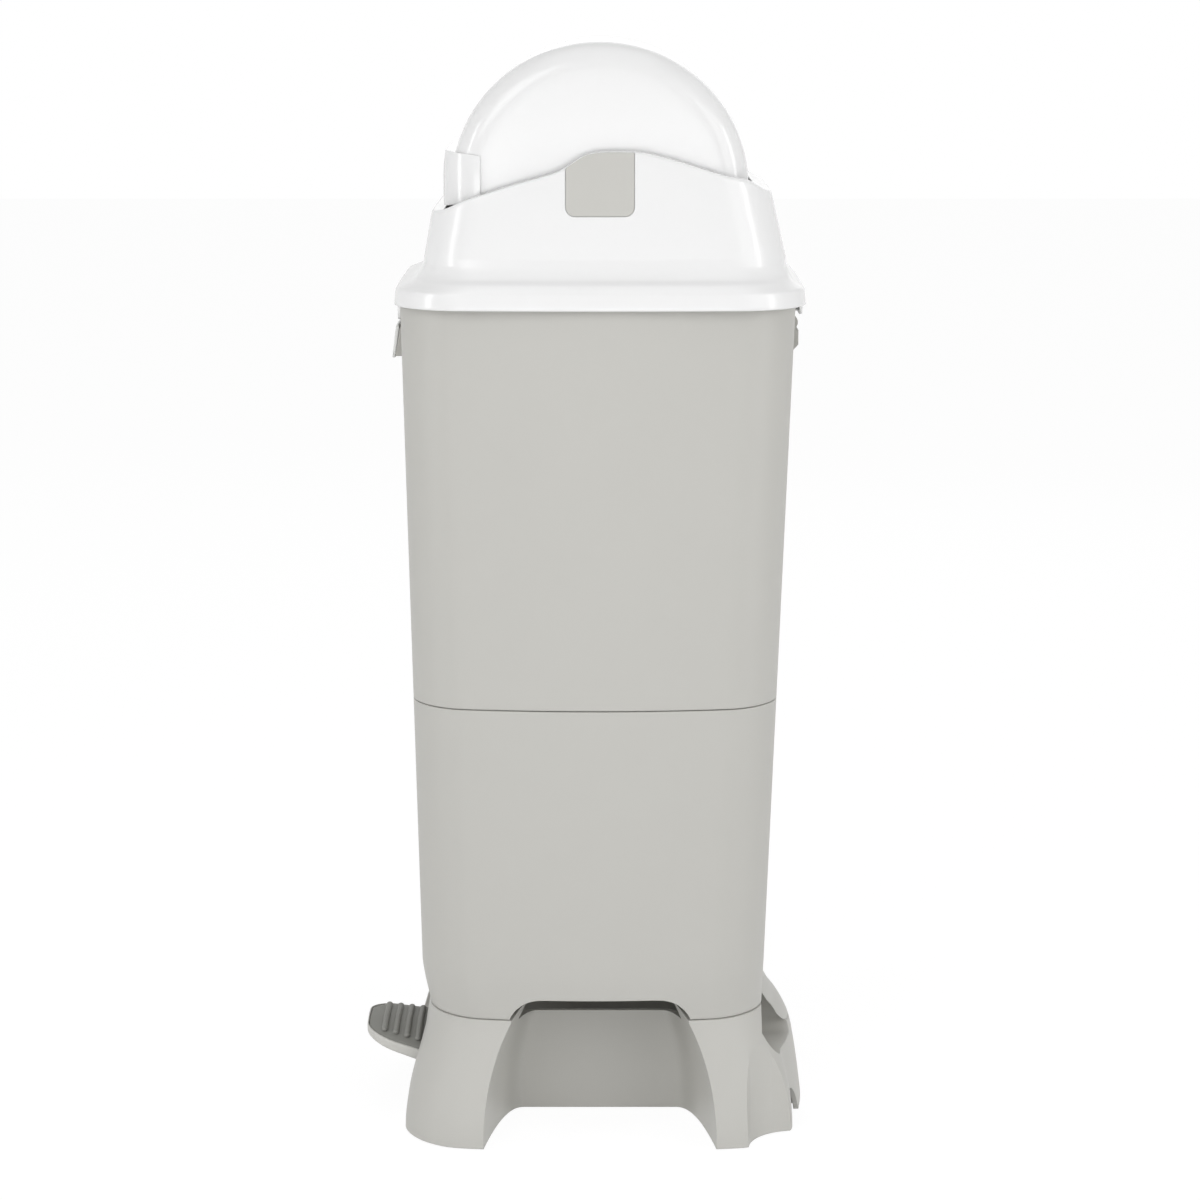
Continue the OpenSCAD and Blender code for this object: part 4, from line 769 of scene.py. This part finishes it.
def build_grip():
    face = [(-74.5, AXLE - 7), (-90, AXLE - 10.9), (-95, AXLE - 11.9), (-98.0, AXLE - 12.0),
        (-98.75, AXLE - 5), (-98.8, AXLE + 4),
            (-98.1, AXLE + 14), (-96.8, AXLE + 22.5), (-90, AXLE + 21.5), (-74.5, AXLE + 19.5)]
    o = prism("dome_grip_block", face, -91, 91, 0)
    plan = [(-87.8, 0), (-87.8, -74.8)] + [(-63.8 + 24 * math.cos(math.radians(a)),
        -74.8 + 24 * math.sin(math.radians(a))) for a in range(180, 271, 6)]
    plan += [(-x, y) for x, y in reversed(plan)]
    boolean(o, [prism("t", plan, AXLE - 40, AXLE + 50, 2)], "INTERSECT")
    tidy(o, 20)
    soften(o, 1.6, 4, 40)
    loop = dome_profile(DOME_R + 0.1, DOME_H + 0.1, DOME_E)
    m, steps = len(loop), 60
    verts, faces = [], []
    for k in range(steps + 1):
        a = math.radians(mix(140, 215, k / steps))
        verts += [(x, q * math.cos(a), crown(q * math.sin(a))) for x, q in loop]
    for k in range(steps):
        for i in range(m):
            j = (i + 1) % m
            faces.append((k * m + i, k * m + j, (k + 1) * m + j, (k + 1) * m + i))
    faces += [tuple(range(m)), tuple(steps * m + i for i in range(m))[::-1]]
    boolean(o, [fix_normals(obj_from("t", verts, faces))])
    return tidy(o, 45)


dress(build_grip(), "dome_grip")


# ---------------------------------------------------------------- pedal
REACH, ROOT, TIP_R = 158.0, -104.0, 20.0


def paddle_top(y):
    return mix(50, 40, (y + REACH) / (REACH + ROOT))


def paddle_low(y):
    return mix(40.5, 25.5, (y + REACH) / (REACH + ROOT))


def paddle_ring(y, d=0.0, lift=0.0, n=96):
    v = min(1.0, max(0.0, (y + REACH - d) / TIP_R))
    w = mix(35, 50, (y + REACH) / (REACH + ROOT)) - TIP_R * (1 - math.sqrt(max(0.0, 1 - (1 - v) ** 2))) - d
    v2 = min(1.0, (y + REACH + 1.5 - d) / TIP_R)
    h = ((paddle_top(y) - paddle_low(y)) / 2) * (0.5 + 0.5 * math.sqrt(max(0.0, 1 - (1 - v2) ** 2))) - d
    mid = (paddle_top(y) + paddle_low(y)) / 2
    side = lambda q: math.copysign(abs(q) ** 0.4, q)
    pts = []
    for i in range(n):
        a = 2 * math.pi * i / n
        x = w * side(math.sin(a))
        z = mid + h * side(math.cos(a)) + 3 * (1 - math.sqrt((x / 50) ** 2 + 0.0004))
        pts.append((x, y, z + lift))
    return pts


def paddle_loft(name, d=0.0, lift=0.0, root=ROOT):
    ts = [0.002, 0.006, 0.012, 0.02, 0.035, 0.055, 0.08, 0.11, 0.15, 0.2, 0.26, 0.33, 0.42, 0.55, 0.7, 0.85,
        1]
    return loft(name, [paddle_ring(mix(-REACH + d, root, t), d, lift) for t in ts])


def pad_edge(y):
    """The height of the line where the pad meets the paddle's skirt."""
    u = (y + REACH) / (REACH + ROOT)
    return paddle_top(y) - mix(1.9, 3.4, u)


def pad_cut(name, down):
    pts = [(-180, pad_edge(-180) - down), (-107.5 + down, pad_edge(-107.5) - down), (-107.5 + down, 90),
        (-180, 90)]
    return prism(name, pts, -80, 80, 0)


def build_pedal():
    o = paddle_loft("pedal_skin")
    arm = [(ROOT - 12, 30), (ROOT - 12, 39), (-60, 39), (-29, 36), (-11, 36), (50, 35), (50, 25), (-11, 22),
        (-60, 22)]
    parts = [prism("t", arm, -18, 18, 0), rod("t", (-18, -20, 30), (18, -20, 30), 9),
             prism("t", [(40, 25), (40, 35), (102, 34.5), (102, 25.5)], -9, 9, 0)]
    boolean(o, parts, "UNION")
    pad = paddle_loft("t", 0.7, 3.0, ROOT + 6)
    boolean(pad, [pad_cut("t", 0.3)], "INTERSECT")
    boolean(o, [pad, rod("t", (-60, -20, 30), (60, -20, 30), 4.25),
        block("t", (-4.6, 86, 0), (4.6, 130, 80)),
                rod("t", (-20, 98, 30), (20, 98, 30), 2.01)])
    return tidy(soften(o, 0.35, 2, 40), 40)


dress(build_pedal(), "pedal_arm")


def build_pad():
    o = paddle_loft("pedal_pad_skin", 0.95, 0.35, ROOT + 6)
    boolean(o, [pad_cut("t", 0.0)], "INTERSECT")
    soften(o, 0.3, 2, 40)
    ribs = []
    for k in range(6):
        y0 = -145.6 + 7.6 * k
        half = mix(35, 50, (y0 + REACH) / (REACH + ROOT)) - 9.5
        n, m = 40, 10
        verts, faces = [], []
        for i in range(n + 1):
            s = 2 * i / n - 1
            x = half * math.sin(s * math.pi / 2)
            e = max(0.0, abs(x) - (half - 1.8)) / 1.8
            r = 2.1 * math.sqrt(max(0.0, 1 - e * e)) + 0.02
            zc = paddle_top(y0) + 3 * (1 - math.sqrt((x / 50) ** 2 + 0.0004)) + 0.15
            for j in range(m):
                a = 2 * math.pi * j / m
                verts.append((x, y0 + r * math.cos(a), zc + (r * 0.75) * math.sin(a)))
        for i in range(n):
            for j in range(m):
                q = (j + 1) % m
                faces.append((i * m + j, i * m + q, (i + 1) * m + q, (i + 1) * m + j))
        faces += [tuple(range(m)), tuple(n * m + j for j in range(m))[::-1]]
        ribs.append(fix_normals(obj_from("t", verts, faces)))
    boolean(o, ribs, "UNION")
    return tidy(o, 45)


dress(build_pad(), "pedal_pad")


# ---------------------------------------------------------------- latch lever
def build_lever():
    low, high = RIM - 46.5, RIM - 25
    face = [(-134.4, low), (-131.6, high), (-129.9, high), (-129.6, RIM - 27), (-132.5, low)]
    o = prism("latch_lever_skin", face, -36, 36, 0)
    outline = []
    r = 5.0
    for cx, cz, a0 in ((36 - r, high - 1.5, 0), (-36 + r, high - 1.5, 90), (-36 + r, low + r, 180),
        (36 - r, low + r, 270)):
        rr = r if cz < high - 4 else 1.5
        px = cx if rr == r else math.copysign(36 - rr, cx)
        for k in range(0, 91, 10):
            a = math.radians(a0 + k)
            outline.append((px + rr * math.cos(a), cz + rr * math.sin(a)))
    boolean(o, [prism("t", outline, -150, -100, 1)], "INTERSECT")
    soften(o, 0.45, 3, 40)
    arm = [(-132, RIM - 40), (-130.2, RIM - 29), (-126, RIM - 22.8), (-118.9, RIM - 16),
        (-118.9, RIM - 11.6), (-119.9, RIM - 11),
           (-119.9, RIM - 8.6), (-115.6, RIM - 8.6), (-115.6, RIM - 18), (-120.2, RIM - 27),
               (-123, RIM - 29.4), (-127, RIM - 36)]
    boolean(o, [prism("t", arm, 12, 18, 0), prism("t", arm, -18, -12, 0)], "UNION")
    boolean(o, [rod("t", (-60, -123, RIM - 26), (60, -123, RIM - 26), 1.75)])
    return tidy(o, 40)


dress(build_lever(), "latch_lever")

# CAD nodes that stay get their edges rounded where they show from outside
for name, width in (("latch_housing", 0.8), ("hinge_bracket", 0.8), ("hinge_leaf", 0.6), ("chute", 0.6),
                    ("flap_front", 0.4), ("flap_rear", 0.4), ("head_frame", 0.5), ("foot_pads", 0.25),
                    ("film_cartridge", 0.8), ("film_cutter", 0.6), ("rod_cover", 0.6), ("film_shelf", 0.6)):
    m = frame["nodes"][name].modifiers.new("edges", "BEVEL")
    m.width, m.segments, m.limit_method, m.angle_limit = width * MM, 2, "ANGLE", math.radians(38)
    m.harden_normals = True

# ---------------------------------------------------------------- camera, floor and light
cam_data = bpy.data.cameras.new("camera")
cam_data.sensor_width, cam_data.lens = 36, 96
cam = bpy.data.objects.new("camera", cam_data)
coll.objects.link(cam)
cam.location = (2.096, 0, 0.7468)
aim = Vector((-math.cos(math.radians(11)), 0, -math.sin(math.radians(11))))
cam.rotation_euler = aim.to_track_quat("-Z", "Y").to_euler()
bpy.context.scene.camera = cam


def seen(tree):
    """1 for rays that show the backdrop: camera, glossy and transmission rays"""
    rays = tree.nodes.new("ShaderNodeLightPath")
    value = rays.outputs["Is Camera Ray"]
    for kind in ("Is Glossy Ray", "Is Transmission Ray"):
        top = tree.nodes.new("ShaderNodeMath")
        top.operation = "MAXIMUM"
        tree.links.new(value, top.inputs[0])
        tree.links.new(rays.outputs[kind], top.inputs[1])
        value = top.outputs[0]
    return value


floor_z = cad_box[0][2] * 1000 - 0.02
floor = obj_from("floor", [(-9000, -9000, floor_z), (9000, -9000, floor_z), (9000, 9000, floor_z),
    (-9000, 9000, floor_z)], [(0, 1, 2, 3)])
fm = bpy.data.materials.new("floor")
fm.use_nodes = True
nt = fm.node_tree
for n in list(nt.nodes):
    nt.nodes.remove(n)
out = nt.nodes.new("ShaderNodeOutputMaterial")
paint = nt.nodes.new("ShaderNodeBsdfDiffuse")
paint.inputs["Color"].default_value = (0.85, 0.85, 0.85, 1)
shown = nt.nodes.new("ShaderNodeBsdfDiffuse")
shown.inputs["Color"].default_value = (0.12, 0.12, 0.12, 1)
glow = nt.nodes.new("ShaderNodeEmission")
glow.inputs["Color"].default_value = (1, 1, 1, 1)
glow.inputs["Strength"].default_value = 0.93
add = nt.nodes.new("ShaderNodeAddShader")
pick = nt.nodes.new("ShaderNodeMixShader")
nt.links.new(shown.outputs[0], add.inputs[0])
nt.links.new(glow.outputs[0], add.inputs[1])
nt.links.new(seen(nt), pick.inputs[0])
nt.links.new(paint.outputs[0], pick.inputs[1])
nt.links.new(add.outputs[0], pick.inputs[2])
nt.links.new(pick.outputs[0], out.inputs["Surface"])
floor.data.materials.append(fm)

world = bpy.data.worlds.new("world")
bpy.context.scene.world = world
world.use_nodes = True
wn = world.node_tree
for n in list(wn.nodes):
    wn.nodes.remove(n)
wout = wn.nodes.new("ShaderNodeOutputWorld")
amb = wn.nodes.new("ShaderNodeBackground")
amb.inputs["Color"].default_value = (1, 1, 1, 1)
amb.inputs["Strength"].default_value = 0.4
sky = wn.nodes.new("ShaderNodeBackground")
sky.inputs["Color"].default_value = (1, 1, 1, 1)
sky.inputs["Strength"].default_value = 1.0
wmix = wn.nodes.new("ShaderNodeMixShader")
wn.links.new(seen(wn), wmix.inputs[0])
wn.links.new(amb.outputs[0], wmix.inputs[1])
wn.links.new(sky.outputs[0], wmix.inputs[2])
wn.links.new(wmix.outputs[0], wout.inputs["Surface"])


def lamp(name, place, at, size, watts):
    d = bpy.data.lights.new(name, "AREA")
    d.shape, d.size, d.size_y, d.energy = "RECTANGLE", size[0], size[1], watts
    o = bpy.data.objects.new(name, d)
    coll.objects.link(o)
    o.location = place
    o.rotation_euler = (Vector(at) - Vector(place)).to_track_quat("-Z", "Y").to_euler()
    return o


lamp("key", (2.2, -1.3, 1.9), (0, 0, 0.3), (1.4, 1.4), 13.5)
lamp("fill", (2.0, 1.8, 1.2), (0, 0, 0.3), (1.4, 1.6), 9.5)
lamp("top", (0.2, 0, 2.6), (0, 0, 0.3), (1.8, 1.8), 5.5)
lamp("strip_front", (0.9, -1.9, 0.6), (0, 0, 0.35), (0.35, 1.8), 10)
lamp("strip_rear", (0.9, 1.9, 0.6), (0, 0, 0.35), (0.35, 1.8), 10.5)
lamp("low", (2.3, -0.1, 0.3), (0, 0, 0.1), (1.4, 0.5), 7.5)
lamp("back", (-2.2, 0.4, 1.4), (0, 0, 0.3), (1.6, 1.6), 3)

bpy.context.scene.view_settings.view_transform = "Standard"
